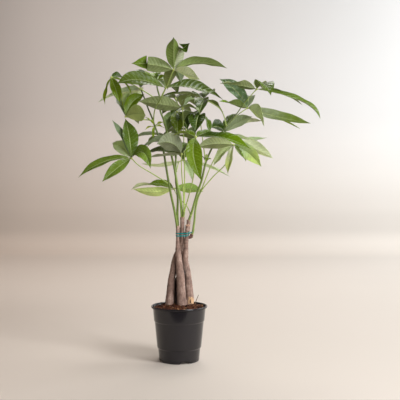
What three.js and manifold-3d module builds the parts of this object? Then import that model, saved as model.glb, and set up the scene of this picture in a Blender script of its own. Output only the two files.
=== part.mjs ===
// A money tree: four young Pachira trunks twisted round each other in a plain nursery pot,
// tied near their tops, each carrying green shoots with palmate leaves.
// Millimetres, +Z up. The origin is the middle of the pot's foot, and the front faces -Y.
import * as THREE from "three";
import { mergeVertices } from "three/addons/utils/BufferGeometryUtils.js";
import Module from "manifold-3d";

const wasm = await Module();
wasm.setup();

// Driving dimensions
const GAP = 0.3; // between pieces that touch
const POT_HEIGHT = 145;
const RIM_RADIUS = 74.6;
const FOOT_RADIUS = 52.7;
const POT_WALL = 1.3;
const POT_FLOOR = 1.7;
const FOOT_HEIGHT = 2.8;
const BOSS_RADIUS = 14;
const POT_SIDES = 28;
const NOTCHES = 4;
const NOTCH_TURN = 12; // degrees from the front to the first notch, towards the right
const NOTCH_WIDTH = 18;
const NOTCH_HEIGHT = 5;
const NOTCH_SIDES = 12;
const SOIL_RADIUS = 68.6; // of the pot's wall at the top of the mix
const SOIL_EDGE = 139.5;
const SOIL_CROWN = 145.5;
const SOIL_RINGS = 3;
const SOIL_ROUGH = 1.1;
const TRUNK_SIDES = 9;
const TRUNK_STEP = 19;
const STUB_SIDES = 7;
const STUB_STEP = 20;
const STEM_SIDES = 6;
const STEM_STEP = 36;
const STALK_SIDES = 4;
const STALK_STEP = 40;
const STALK_RADIUS = 1.7;
const STALK_TAPER = 0.35;
const HUB_RADIUS = 3.4;
const BUD_RADIUS = 2;
const BLADE_THICKNESS = 0.9;
const BLADE_FOLD = 17; // degrees that each half of a blade rises from its midrib
const BLADE_WAVE = 1.8;
const WAVE_RATE = 9; // radians of wave along a blade
const WAVE_SHIFT = 2.4; // radians from one leaflet's wave to the next
const BLADE_NECK = 0.8; // half the width of a leaflet's short stalk
const BLADE_STALK = 0.04; // share of a leaflet's length that is bare
const BLADE_ROOT = 1.6; // how far from the middle of the hub a leaflet starts
const BLADE_STATIONS = [0.09, 0.29, 0.55, 0.82];
const YOUNG_STATIONS = [0.5];
const PLAIN_STATIONS = [0.1, 0.36, 0.72];
const TIE_HEIGHT = 331.5;
const TIE_PITCH = 6.6;
const TIE_WIDTH = 3.6;
const TIE_THICKNESS = 1.2;
const TIE_TURNS = 2;
const TIE_STEPS = 32;
const TIE_START = -40; // degrees from +X, where its first end leaves the trunks
const TIE_STAND = 0.5; // how far past its gap the band stands off the trunks
const TIE_LAST = 0.6; // share of the pitch that the last turn does not rise
const TAIL_SIDES = 5;
const TAIL_STEP = 8;

// The shoots are given as they stand in the front elevation: x and z as drawn at the pot's
// own distance, y the true depth. SIGHT is the point that elevation is seen from.
const SIGHT = new THREE.Vector3(55, -1750, 424);
const UP = new THREE.Vector3(0, 0, 1);
const FRONT = new THREE.Vector3(0, -1, 0);

function seen([x, y, z]) {
  const away = 1 - y / SIGHT.y;
  return new THREE.Vector3(SIGHT.x + (x - SIGHT.x) * away, y, SIGHT.z + (z - SIGHT.z) * away);
}

function radians(degrees) {
  return THREE.MathUtils.degToRad(degrees);
}

// Solids
function solid(geometry) {
  const bare = new THREE.BufferGeometry();
  bare.setAttribute("position", geometry.getAttribute("position"));
  bare.setIndex(geometry.index);
  const merged = mergeVertices(bare, 1e-4);
  return new wasm.Manifold(
    new wasm.Mesh({
      numProp: 3,
      vertProperties: merged.attributes.position.array,
      triVerts: new Uint32Array(merged.index.array),
    }),
  );
}

function fromLists(points, faces) {
  const geometry = new THREE.BufferGeometry().setFromPoints(points);
  geometry.setIndex(faces);
  return solid(geometry);
}

function joined(solids) {
  return solids.reduce((all, one) => all.add(one));
}

function piece(name, body, material) {
  const made = body.getMesh();
  const geometry = new THREE.BufferGeometry();
  geometry.setAttribute("position", new THREE.BufferAttribute(made.vertProperties, 3));
  geometry.setIndex(new THREE.BufferAttribute(made.triVerts, 1));
  geometry.computeVertexNormals();
  const mesh = new THREE.Mesh(geometry, material);
  mesh.name = name;
  return mesh;
}

function material(color, roughness) {
  return new THREE.MeshStandardMaterial({ color, roughness, metalness: 0 });
}

// Joins rings of equal count into one closed skin, with a middle point on each end.
function skin(rings) {
  const count = rings[0].length;
  const points = rings.flat();
  const faces = [];
  for (let row = 0; row + 1 < rings.length; row++)
    for (let i = 0; i < count; i++) {
      const a = row * count + i;
      const b = row * count + ((i + 1) % count);
      faces.push(a, b, b + count, a, b + count, a + count);
    }
  for (const [row, turned] of [[0, true], [rings.length - 1, false]]) {
    const middle = new THREE.Vector3();
    rings[row].forEach((point) => middle.addScaledVector(point, 1 / count));
    const hub = points.push(middle) - 1;
    for (let i = 0; i < count; i++) {
      const a = row * count + i;
      const b = row * count + ((i + 1) % count);
      faces.push(...(turned ? [hub, b, a] : [hub, a, b]));
    }
  }
  return fromLists(points, faces);
}

// A round limb through [point, radius] nodes, grown by a clearance where it cuts its own seat.
function limb(nodes, sides, step, grow = 0) {
  const curve = new THREE.CatmullRomCurve3(nodes.map(([point]) => point), false, "centripetal");
  const spans = nodes.length - 1;
  const rings = [];
  let side = null;
  for (let span = 0; span < spans; span++) {
    const length = nodes[span][0].distanceTo(nodes[span + 1][0]);
    const cuts = Math.max(1, Math.round(length / step));
    const last = span === spans - 1 ? 1 : 0;
    for (let cut = 0; cut < cuts + last; cut++) {
      const share = cut / cuts;
      const at = (span + share) / spans;
      const tangent = curve.getTangent(at);
      const start = side ?? (Math.abs(tangent.x) < 0.8 ? new THREE.Vector3(1, 0, 0) : UP.clone());
      side = start.clone().addScaledVector(tangent, -start.dot(tangent)).normalize();
      const across = new THREE.Vector3().crossVectors(tangent, side);
      const radius = THREE.MathUtils.lerp(nodes[span][1], nodes[span + 1][1], share) + grow;
      const middle = curve.getPoint(at);
      rings.push(Array.from({ length: sides }, (_, i) => {
        const turn = (i / sides) * 2 * Math.PI;
        return middle.clone()
          .addScaledVector(side, radius * Math.cos(turn))
          .addScaledVector(across, radius * Math.sin(turn));
      }));
    }
  }
  return skin(rings);
}

// Pot: a lathe turned from its outer skin, rolled rim, inner skin and floor, on a ring and a boss
function potProfile() {
  const outer = [
    [FOOT_RADIUS - 1.2, 0], [FOOT_RADIUS, 1.2], [56, 33.5], [58.4, 36],
    [64.8, 103], [66.7, 105.5], [70, 139.8],
    [RIM_RADIUS - 1, 140.2], [RIM_RADIUS, 141.4], [RIM_RADIUS, POT_HEIGHT - 1.4],
    [RIM_RADIUS - 1.3, POT_HEIGHT], [RIM_RADIUS - 3, POT_HEIGHT],
  ];
  const inner = [
    [70, 142], [68.5, 138.5],
    [65.2 - POT_WALL, 104.5], [58.4 - POT_WALL, 37.1], [56 - POT_WALL, 34.6],
    [FOOT_RADIUS - POT_WALL, FOOT_HEIGHT + POT_FLOOR],
  ];
  const under = [
    [0, 0], [BOSS_RADIUS, 0], [BOSS_RADIUS + 1, FOOT_HEIGHT],
    [FOOT_RADIUS - 4.2, FOOT_HEIGHT], [FOOT_RADIUS - 3.4, 0],
  ];
  return { outer, inner, under, floor: [[0, FOOT_HEIGHT + POT_FLOOR]] };
}

function turned(points, sides) {
  return solid(new THREE.LatheGeometry(points.map(([r, z]) => new THREE.Vector2(r, z)), sides)
    .rotateX(Math.PI / 2));
}

function pot() {
  const { outer, inner, under, floor } = potProfile();
  let body = turned([...under, ...outer, ...inner, ...floor], POT_SIDES);
  for (let i = 0; i < NOTCHES; i++) {
    const cutter = new THREE.CylinderGeometry(NOTCH_HEIGHT, NOTCH_HEIGHT, 12, NOTCH_SIDES)
      .scale(NOTCH_WIDTH / 2 / NOTCH_HEIGHT, 1, 1)
      .translate(0, -FOOT_RADIUS, 0)
      .rotateZ(radians(NOTCH_TURN + (360 / NOTCHES) * i));
    body = body.subtract(solid(cutter));
  }
  return body;
}

// Trunks, each from its buried foot to its cut top as [x, y, z, radius]
const TRUNKS = {
  trunk_front: [
    [8.5, 3, 108, 11], [7.2, 2, 145, 13.6], [5.8, 0, 166, 11.8], [4.6, -2, 205, 11],
    [1.6, -5, 238, 10.2], [-0.5, -7, 265, 8.6], [-3.2, -7, 291, 6.9], [-3.8, -6.2, 305, 5.4],
    [-4, -5, 318, 4.7], [-3.6, -3.8, 333, 4.7], [-3.5, -3.6, 355, 5],
  ],
  trunk_left: [
    [-29, 16, 108, 9], [-26.5, 14, 145, 12], [-25.3, 14, 166, 10.6], [-22, 14, 205, 9.4],
    [-16, 14.8, 238, 9], [-12, 15.5, 262, 8.2], [-6.6, 15.5, 280, 7.5], [0, 14.4, 293, 6.8],
    [5.4, 12, 305, 6.2], [8, 8.6, 317, 5.8], [8.4, 4.8, 328, 5.5], [8.3, 3.6, 341, 5.6],
    [8, 4, 377.6, 5.8],
  ],
  trunk_right: [
    [29, 23, 108, 9.5], [27, 22, 145, 12.2], [26.8, 23, 166, 11.2], [22.8, 26, 208, 10.2],
    [18.8, 31, 238, 9.6], [13.5, 33, 264, 8.7], [8, 30.6, 286, 7.6], [2.6, 28.4, 300, 7],
    [-1, 24.2, 311, 6.6], [-2.6, 17.4, 325, 5.8], [-3, 16.2, 341, 5.8], [-3, 15.4, 350, 6],
  ],
  trunk_back: [
    [-9, 43, 108, 10], [-8, 39, 145, 13], [-6.5, 36, 166, 12], [-3, 27, 205, 10.4],
    [4, 18.5, 222, 9.3], [9.2, 13.8, 238, 9], [13, 8.6, 252, 8.6], [15.6, 4, 270, 7.9],
    [17.6, 1.2, 292, 6.7], [18.4, 0, 312, 5.8], [19.6, -0.8, 326, 5.5], [21, -1, 341, 5.8],
    [22.2, -2.2, 350, 6.3], [22.8, -4.8, 357, 6.2],
  ],
};
// Short stubs on the trunk that ends at the right: one above its cut top carries the right shoot,
// a cut one faces the front, and a low one carries the side shoot.
const STUBS = [
  [[21.6, 1, 344, 4.6], [23.4, 4.5, 352, 5], [24.2, 5.5, 361, 5.2], [24.8, 5, 371, 5.2]],
  [[21.5, -2, 344, 4], [22, -8.5, 345.5, 3.8], [22.2, -10, 346, 3.7]],
  [[19, 0, 319.5, 4.2], [26, 4, 320, 4.4], [31, 6.6, 322, 4.8], [33, 7.8, 330, 4.8]],
];

function nodesOf(rows) {
  return rows.map(([x, y, z, radius]) => [new THREE.Vector3(x, y, z), radius]);
}

function trunk(name, grow = 0) {
  const body = limb(nodesOf(TRUNKS[name]), TRUNK_SIDES, TRUNK_STEP, grow);
  if (name !== "trunk_back" || grow > 0) return body;
  return joined([body, ...STUBS.map((rows) => limb(nodesOf(rows), STUB_SIDES, STUB_STEP))]);
}

// Potting mix: fills the pot, rises a little to the trunks, with a rough top and plain holes
function soil(holes) {
  const { inner } = potProfile();
  const wall = inner.slice(1).reverse().map(([r, z]) => [r - GAP, z]);
  wall[0][1] += GAP;
  const edge = SOIL_RADIUS - GAP;
  const profile = [[0, wall[0][1]], ...wall, [edge, SOIL_EDGE]];
  for (let ring = SOIL_RINGS - 1; ring >= 0; ring--) profile.push([(edge * ring) / SOIL_RINGS, SOIL_EDGE]);
  const lathe = new THREE.LatheGeometry(profile.map(([r, z]) => new THREE.Vector2(r, z)), POT_SIDES)
    .rotateX(Math.PI / 2);
  const place = lathe.getAttribute("position");
  for (let i = 0; i < place.count; i++) {
    const x = place.getX(i);
    const y = place.getY(i);
    const reach = Math.hypot(x, y) / edge;
    if (place.getZ(i) < SOIL_EDGE - 1 || reach > 0.99) continue;
    const swell = (SOIL_CROWN - SOIL_EDGE) * (1 - reach * reach);
    const rough = SOIL_ROUGH * Math.sin(0.31 * x + 0.9) * Math.cos(0.27 * y - 0.4);
    place.setZ(i, SOIL_EDGE + swell + rough + 0.5 * Math.sin(0.8 * x - 0.7 * y));
  }
  return holes.reduce((body, hole) => body.subtract(hole), solid(lathe));
}

// A dry twig that stands in the mix behind the trunks, as [x, y, z, radius]
const TWIG = [[41, 40, 131, 0.8], [43.5, 41, 148, 0.9], [48, 43, 159, 0.8], [51, 44, 166, 0.6]];

function twig(grow = 0) {
  return limb(nodesOf(TWIG), TAIL_SIDES, TAIL_STEP, grow);
}

// Twist tie: a flat band wound round the four trunks, where they press together
function trunkAt(name, z) {
  const rows = TRUNKS[name];
  const above = rows.findIndex((row) => row[2] >= z);
  const [low, high] = [rows[above - 1], rows[above]];
  const share = (z - low[2]) / (high[2] - low[2]);
  return low.map((value, i) => THREE.MathUtils.lerp(value, high[i], share));
}

// The point where a string drawn tight round the trunks would touch on the side facing `turn`
function wrapPoint(turn, z) {
  const out = new THREE.Vector3(Math.cos(turn), Math.sin(turn), 0);
  const far = Object.keys(TRUNKS)
    .map((name) => trunkAt(name, z))
    .reduce((a, b) => (a[0] * out.x + a[1] * out.y + a[3] > b[0] * out.x + b[1] * out.y + b[3] ? a : b));
  const stand = far[3] + GAP + TIE_STAND + TIE_THICKNESS / 2;
  return { point: new THREE.Vector3(far[0], far[1], z).addScaledVector(out, stand), out };
}

function tie() {
  const start = radians(TIE_START);
  const rings = [];
  for (let step = 0; step <= TIE_STEPS; step++) {
    const share = step / TIE_STEPS;
    const z = TIE_HEIGHT - TIE_PITCH / 2 + TIE_PITCH * share * (TIE_TURNS - TIE_LAST);
    const { point, out } = wrapPoint(start + share * TIE_TURNS * 2 * Math.PI, z);
    rings.push([[1, -1], [-1, -1], [-1, 1], [1, 1]].map(([o, u]) => point.clone()
      .addScaledVector(out, (o * TIE_THICKNESS) / 2)
      .addScaledVector(UP, (u * TIE_WIDTH) / 2)));
  }
  const first = rings[0][0].clone().lerp(rings[0][1], 0.5).addScaledVector(UP, TIE_WIDTH / 2);
  const last = rings[TIE_STEPS][2].clone().lerp(rings[TIE_STEPS][3], 0.5);
  last.addScaledVector(UP, -TIE_WIDTH / 2);
  const knot = first.clone().lerp(last, 0.5).add(new THREE.Vector3(2.4, -2.2, 1));
  const tail = knot.clone().add(new THREE.Vector3(4.5, -3, 6));
  const lower = tail.clone().add(new THREE.Vector3(2, 0.6, -3));
  return joined([
    skin(rings),
    limb([[first, 1.1], [knot, 1.2], [tail, 0.9]], TAIL_SIDES, TAIL_STEP),
    limb([[last, 1.1], [knot, 1.2], [lower, 0.9]], TAIL_SIDES, TAIL_STEP),
  ]);
}

// Leaf blades: how wide at share s of the length, from a short stalk to a drawn-out tip
function bladeShape(s) {
  const grown = Math.max(0, (s - BLADE_STALK) / (1 - BLADE_STALK));
  return Math.sin(Math.PI * grown) ** 0.74 * (1 - 0.5 * s ** 6);
}

// Where a leaflet's midrib is at share s of its length, with its side and upper directions.
// arch and sway bend the midrib up and sideways, most at share lead of its length. roll turns
// the upper side about the midrib, and twist adds to it from base to tip.
function bladeAt(hub, { tip, arch, lead, sway, roll, twist }, s) {
  const chord = tip.clone().sub(hub);
  const along = chord.clone().normalize();
  const lean = Math.abs(along.z) > 0.985 ? FRONT : UP;
  const rise = lean.clone().addScaledVector(along, -lean.dot(along)).normalize();
  const bend = hub.clone()
    .addScaledVector(chord, lead)
    .addScaledVector(rise, 2 * arch)
    .addScaledVector(new THREE.Vector3().crossVectors(along, rise), 2 * sway);
  const point = hub.clone().multiplyScalar((1 - s) ** 2)
    .addScaledVector(bend, 2 * s * (1 - s))
    .addScaledVector(tip, s * s);
  const tangent = bend.clone().sub(hub).multiplyScalar(1 - s)
    .addScaledVector(tip.clone().sub(bend), s)
    .normalize();
  const normal = rise.addScaledVector(tangent, -rise.dot(tangent)).normalize();
  normal.applyAxisAngle(tangent, radians(roll + twist * (s - 0.5)));
  return { point, normal, side: new THREE.Vector3().crossVectors(tangent, normal) };
}

function blade(hub, leaflet, phase, shares) {
  const points = [];
  const faces = [];
  const fold = radians(BLADE_FOLD);
  const start = (0.01 * BLADE_ROOT) / hub.distanceTo(bladeAt(hub, leaflet, 0.01).point);
  const stations = [start, ...shares];
  for (const s of stations) {
    const { point, normal, side } = bladeAt(hub, leaflet, s);
    const half = Math.max(BLADE_NECK, (leaflet.width / 2) * bladeShape(s));
    for (const across of [1, 0, -1]) {
      const wave = BLADE_WAVE * Math.abs(across) * Math.sin(WAVE_RATE * s + phase + across) * bladeShape(s);
      const middle = point.clone()
        .addScaledVector(side, across * half * Math.cos(fold))
        .addScaledVector(normal, Math.abs(across) * half * Math.sin(fold) + wave);
      for (const face of [0.5, -0.5])
        points.push(middle.clone().addScaledVector(normal, face * BLADE_THICKNESS));
    }
  }
  const end = bladeAt(hub, leaflet, 1);
  for (const face of [0.5, -0.5])
    points.push(end.point.clone().addScaledVector(end.normal, face * BLADE_THICKNESS));
  const quad = (a, b, c, d) => faces.push(a, b, c, a, c, d);
  for (let row = 0; row + 1 < stations.length; row++) {
    const p = row * 6;
    const q = p + 6;
    for (const i of [0, 2]) {
      quad(p + i, q + i, q + i + 2, p + i + 2);
      quad(p + i + 1, p + i + 3, q + i + 3, q + i + 1);
    }
    quad(p, p + 1, q + 1, q);
    quad(p + 4, q + 4, q + 5, p + 5);
  }
  faces.push(0, 2, 1, 1, 2, 3, 2, 4, 3, 3, 4, 5);
  const p = (stations.length - 1) * 6;
  const tip = p + 6;
  for (const i of [0, 2]) {
    faces.push(p + i, tip, p + i + 2);
    faces.push(p + i + 1, p + i + 3, tip + 1);
  }
  quad(p, p + 1, tip + 1, tip);
  quad(p + 4, tip, tip + 1, p + 5);
  return fromLists(points, faces);
}

// A palmate leaf: its stalk from the stem, its hub, and its leaflets
function leaf({ stalk, hub, leaflets, young = false, stations = BLADE_STATIONS }) {
  const centre = seen(hub);
  const knob = new THREE.OctahedronGeometry(young ? BUD_RADIUS : HUB_RADIUS, 0);
  knob.translate(centre.x, centre.y, centre.z);
  const solids = [solid(knob)];
  if (stalk) {
    const points = [...stalk, hub].map(seen);
    const nodes = points.map((point, i) => [point, STALK_RADIUS - (STALK_TAPER * i) / (points.length - 1)]);
    solids.push(limb(nodes, STALK_SIDES, STALK_STEP));
  }
  leaflets.forEach(([tip, width, bend = 8, roll = 0, twist = 0], i) => {
    const [arch, lead = 0.45, sway = 0] = [bend].flat();
    const leaflet = { tip: seen(tip), width, arch, lead, sway, roll, twist };
    solids.push(blade(centre, leaflet, WAVE_SHIFT * i, stations));
  });
  return joined(solids);
}

// Small new leaves round a growing tip
function whorl(hub, tips, width = 10, arch = 3) {
  const leaflets = tips.map((tip) => [tip, width, arch]);
  return { hub, leaflets, young: true, stations: YOUNG_STATIONS };
}

function stem(points, base, top, grow = 0) {
  const places = points.map(seen);
  const last = places.length - 1;
  const nodes = places.map((point, i) => [point, base + ((top - base) * i) / last]);
  return limb(nodes, STEM_SIDES, STEM_STEP, grow);
}

// Shoots, in front-elevation millimetres. A leaflet is its tip, its width, its bend (arch, or
// arch with lead and sway), its roll and its twist.
const SHOOTS = {
  shoot_left: {
    stems: [
      [[
        [-4.6, -4, 349], [-13, -6, 397], [-24, -10, 448], [-36, -14, 519], [-43, -14, 559],
        [-56, -12, 597], [-65, -10, 620], [-71, -4, 639], [-83, 6, 668], [-101, 10, 717],
      ], 3.3, 1.8],
    ],
    leaves: [
      {
        stalk: [[-69, -6, 632], [-64, -28, 665], [-43, -55, 704]],
        hub: [-15, -80, 769],
        leaflets: [
          [[-15, -140, 856], 40, 6, 28],
          [[29, -120, 825], 36, 12, -25, 90],
          [[127, -95, 773], 40, 16, -25],
          [[56, -150, 743], 38, 1, -50],
          [[5, -20, 734], 34, 10],
          [[-31, -15, 716], 34, 12],
          [[-127, -100, 786], 42, 5, 70],
        ],
      },
      {
        hub: [-103, 10, 720],
        stations: PLAIN_STATIONS,
        leaflets: [
          [[-215, 55, 683], 36, 6, -35, 70],
          [[-154, 80, 686], 36, 8, 25],
          [[-107, 85, 770], 34, 10],
          [[-88, 105, 730], 34, 12],
          [[-117, 85, 681], 34, 12],
        ],
      },
      {
        stalk: [[-70, -8, 635], [-100, -12, 638]],
        hub: [-142, -20, 645],
        stations: PLAIN_STATIONS,
        leaflets: [
          [[-166, 50, 692], 28, 8],
          [[-92, 25, 704], 36, 12, 45],
          [[-89, -85, 648], 50, 6, -70],
          [[-135, 70, 709], 26, 10],
          [[-107, 70, 625], 32, 10],
        ],
      },
      {
        stalk: [[-29, -11, 468], [-70, -26, 493], [-109, -48, 517]],
        hub: [-127, -60, 535],
        leaflets: [
          [[-268, -75, 483], 30, 15, -46],
          [[-205, -110, 472], 32, 3, -60],
          [[-178, -40, 636], 30, 4, -20],
          [[-143, -30, 640], 47, 6],
          [[-178, 10, 575], 38, 8, -55],
          [[-76, -100, 507], 38, [28, 0.38], 60],
        ],
      },
      whorl([-65, -10, 619], [
        [-91, -14, 644], [-91, -16, 610], [-69, -20, 588], [-40, -24, 630], [-39, 4, 615],
      ]),
    ],
  },
  shoot_middle: {
    stems: [
      [[
        [8, 5, 371], [3, 6, 429], [-5, 10, 465], [-13, 16, 509], [-19, 18, 535],
        [-40, 24, 633], [-50, 26, 660], [-52, 28, 697], [-58, 28, 719], [-60, 28, 737],
      ], 3.6, 1.8],
      [[[8, 4, 371], [12, 0, 386], [13, -2, 397]], 3, 2.4],
    ],
    leaves: [
      {
        stalk: [[-51, 28, 690], [-44, 26, 706]],
        hub: [-36, 20, 721],
        leaflets: [
          [[-165, -60, 732], 50, [15, 0.6], -60],
          [[-109, 100, 761], 34, 12],
          [[117, 60, 689], 50, 17, 42],
          [[-3, 110, 705], 36, 14],
          [[-46, 130, 753], 36, 14],
        ],
      },
      {
        stalk: [[-51, 27, 681], [-71, 8, 698], [-99, -13, 716], [-141, -15, 738]],
        hub: [-180, -12, 749],
        stations: PLAIN_STATIONS,
        leaflets: [
          [[-197, -25, 677], 16, [4, 0.45, 3]],
          [[-157, -35, 681], 24, [4, 0.45, 3]],
          [[-148, -15, 665], 18, [4, 0.45, -4]],
          [[-127, -22, 702], 18, 12],
          [[-146, 20, 746], 20, 4, 40],
        ],
      },
      {
        stalk: [[13, -2, 393], [14, -2, 450], [14, -8, 526], [11, -14, 610]],
        hub: [9, -20, 668],
        stations: PLAIN_STATIONS,
        leaflets: [
          [[-109, -18, 686], 44, 1, 60],
          [[21, -70, 702], 36, 6],
          [[44, -62, 692], 28, 8],
          [[55, -82, 656], 26, 8, -10],
          [[-22, 38, 650], 30, 8],
        ],
      },
      {
        stalk: [[12, -2, 393], [12, -10, 429], [6, -40, 507]],
        hub: [6, -60, 546],
        leaflets: [
          [[-60, -95, 572], 54, 17, 65],
          [[-107, -45, 555], 30, 30, -40],
          [[-87, 110, 550], 34, 8, -40],
          [[-80, -20, 537], 26, 0, 8],
          [[55, -30, 561], 32, 12],
          [[44, 30, 567], 36, 14],
        ],
      },
      {
        stalk: [[13, -2, 393], [20, -16, 416], [30, -45, 453], [38, -75, 488], [42, -115, 538]],
        hub: [44, -150, 591],
        leaflets: [
          [[59, -190, 475], 44, [10, 0.45, 16], 5],
          [[190, -190, 559], 38, 12, 35],
          [[-18, -120, 594], 34, 8, -12],
          [[92, -105, 604], 28, 4, 20],
        ],
      },
      whorl([-59, 28, 737], [[-87, 10, 743], [-26, 14, 746], [-43, 50, 765]], 14, 10),
      whorl([-59, 28, 737], [[-71, 34, 764], [-35, 40, 741]]),
    ],
  },
  shoot_right: {
    stems: [
      [[
        [24.4, 5.2, 361], [27, 3, 374], [33, -4, 391], [47, -14, 440], [59, -20, 475], [68, -24, 515],
        [71, -24, 525], [84, -22, 556], [103, -16, 591], [126, -10, 620],
      ], 3.5, 2],
    ],
    leaves: [
      {
        stalk: [[31, -4, 383], [21, 12, 406], [-5, 37, 435]],
        hub: [-14, 46, 454],
        stations: PLAIN_STATIONS,
        leaflets: [
          [[-123, 20, 454], 30, -10, 65],
          [[-128, 96, 450], 24, [13, 0.7], 10],
          [[-81, 30, 466], 30, 6, -50],
          [[64, 74, 446], 32, 4, -60],
        ],
      },
      {
        stalk: [[124, -11, 618], [153, 0, 648]],
        hub: [181, 10, 668],
        leaflets: [
          [[106, 60, 745], 44, 10, -45],
          [[190, 85, 700], 38, 8],
          [[105, -10, 686], 32, 2, 14, -110],
          [[349, -30, 627], 38, -4, 55],
          [[225, -60, 619], 44, 10, -70],
          [[322, 40, 612], 30, 4, 20],
        ],
      },
      {
        stalk: [[126, -10, 619], [152, -2, 652], [169, 4, 676]],
        hub: [205, 20, 718],
        leaflets: [
          [[107, -10, 733], 36, 3, 15, -110],
          [[243, -85, 701], 50, 20],
          [[327, 40, 675], 34, 12, 10],
          [[374, 0, 639], 34, [21, 0.76], 30],
          [[225, 140, 716], 38, 14],
        ],
      },
      {
        stalk: [[70, -24, 522], [64, -30, 570]],
        hub: [54, -40, 649],
        stations: PLAIN_STATIONS,
        leaflets: [
          [[43, -105, 602], 48, 12],
          [[79, -66, 599], 22, 12],
          [[21, -85, 617], 36, 10],
          [[71, 30, 686], 34, 12],
          [[7, 20, 631], 36, 12],
        ],
      },
      {
        stalk: [[125, -10, 619], [118, 20, 648], [106, 40, 668]],
        hub: [66, 60, 692],
        stations: PLAIN_STATIONS,
        leaflets: [
          [[55, -10, 651], 42, 12],
          [[116, 70, 657], 24, 5],
          [[-46, 40, 700], 34, 10, -15],
          [[92, 150, 702], 36, 14],
          [[34, 150, 689], 36, 14],
        ],
      },
      whorl([71, -24, 525], [[58, -30, 540], [86, -28, 533], [74, -40, 546]]),
    ],
  },
  shoot_side: {
    stems: [
      [[
        [31.6, 6.8, 321], [33.2, 7.8, 330], [36.4, 9.6, 341], [38.2, 11, 355], [40.6, 13, 373],
        [42.5, 16, 397], [50, 18, 432], [59, 20, 451],
      ], 3.2, 2.4],
    ],
    leaves: [
      {
        stalk: [[58, 20, 449], [92, 0, 488], [125, -20, 522]],
        hub: [144, -40, 570],
        leaflets: [
          [[129, -60, 493], 23, 4],
          [[177, -80, 525], 18, 8],
          [[91, -20, 515], 30, 6, -65],
          [[47, -75, 564], 40, 6, 60],
          [[249, -60, 534], 43, 8, -50],
          [[218, -100, 512], 40, 8, 65],
          [[208, -5, 582], 22, -2, 30],
        ],
      },
      {
        stalk: [[58, 20, 449], [79, 30, 503], [100, 45, 549]],
        hub: [121, 60, 604],
        stations: PLAIN_STATIONS,
        leaflets: [
          [[194, 20, 645], 36, 6, -50],
          [[221, 100, 634], 36, 8, -30],
          [[84, -5, 616], 46, 8, -60],
          [[151, 120, 653], 34, 8],
          [[233, 0, 590], 30, [-12, 0.6], 0, 60],
        ],
      },
    ],
  },
  shoot_rear: {
    stems: [
      [[
        [-3, 15, 344], [-5, 16, 387], [-4, 22, 432], [-9, 32, 477], [-9, 48, 530], [-3, 62, 583],
        [5, 75, 631],
      ], 3.4, 1.9],
    ],
    leaves: [
      {
        stalk: [[-8, 38, 500], [0, 100, 525]],
        hub: [10, 150, 530],
        stations: PLAIN_STATIONS,
        leaflets: [
          [[-101, 190, 521], 34, -14, 12],
          [[137, 170, 485], 32, 5, 8],
          [[34, 110, 477], 34, 6],
          [[-19, 240, 538], 36, 14],
          [[40, 245, 545], 36, 14],
        ],
      },
      {
        stalk: [[-9, 50, 535], [-18, 80, 562]],
        hub: [-30, 118, 588],
        stations: PLAIN_STATIONS,
        leaflets: [
          [[-123, 125, 588], 30, 10, -25],
          [[-85, 195, 565], 34, 12],
          [[-15, 220, 568], 36, 14],
          [[50, 180, 575], 34, 12],
        ],
      },
      {
        stalk: [[4, 74, 626], [14, 130, 625]],
        hub: [18, 185, 610],
        stations: PLAIN_STATIONS,
        leaflets: [
          [[-46, 215, 590], 34, 10],
          [[-20, 285, 578], 36, 14],
          [[38, 290, 578], 36, 14],
          [[30, 200, 520], 34, 10],
        ],
      },
      {
        stalk: [[4, 74, 626], [0, 80, 645]],
        hub: [-6, 72, 657],
        stations: PLAIN_STATIONS,
        leaflets: [
          [[-32, 52, 606], 44, 6, -45],
          [[-4, 42, 600], 44, 6],
          [[22, 52, 610], 38, 6, 45],
          [[-46, 120, 652], 34, 8],
          [[32, 130, 655], 34, 8],
        ],
      },
      {
        stalk: [[5, 75, 630], [-4, 130, 680]],
        hub: [-10, 170, 693],
        stations: PLAIN_STATIONS,
        leaflets: [
          [[-52, 225, 672], 34, 12],
          [[-5, 275, 680], 36, 14],
          [[48, 240, 670], 34, 12],
          [[62, 165, 688], 34, 10],
          [[-40, 120, 690], 30, 8],
        ],
      },
    ],
  },
};

function shoot({ stems, leaves }) {
  return joined([...stems.map(([points, base, top]) => stem(points, base, top)), ...leaves.map(leaf)]);
}

// The socket that a shoot's foot leaves in the trunk top it grows from
const SEATS = {
  shoot_left: "trunk_front",
  shoot_middle: "trunk_left",
  shoot_right: "trunk_back",
  shoot_side: "trunk_back",
  shoot_rear: "trunk_right",
};

function seatedTrunk(name) {
  return Object.entries(SEATS)
    .filter(([, carrier]) => carrier === name)
    .flatMap(([shootName]) => SHOOTS[shootName].stems)
    .reduce((body, [points, base, top]) => body.subtract(stem(points, base, top, GAP)), trunk(name));
}

const PLASTIC = material("#3a3838", 0.55);
const MIX = material("#5a3a2c", 0.95);
const BARK = material("#8a7064", 0.85);
const LEAF = material("#5f7a34", 0.45);
const TIE = material("#1c8f92", 0.5);
const STICK = material("#4a3a30", 0.9);

const plant = new THREE.Group();
const trunkNames = Object.keys(TRUNKS);
plant.add(piece("pot", pot(), PLASTIC));
plant.add(piece("soil", soil([...trunkNames.map((name) => trunk(name, GAP)), twig(GAP)]), MIX));
plant.add(piece("twig", twig(), STICK));
for (const name of trunkNames) plant.add(piece(name, seatedTrunk(name), BARK));
plant.add(piece("twist_tie", tie(), TIE));
for (const [name, parts] of Object.entries(SHOOTS)) plant.add(piece(name, shoot(parts), LEAF));

export default plant;
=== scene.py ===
"""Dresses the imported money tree: moulded pot, potting mix, bark, twist tie and palmate leaves.

Lengths in the tables are millimetres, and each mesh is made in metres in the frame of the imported
model: the origin is the middle of the pot's foot, +Z is up, and the front faces -Y.
"""

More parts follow.
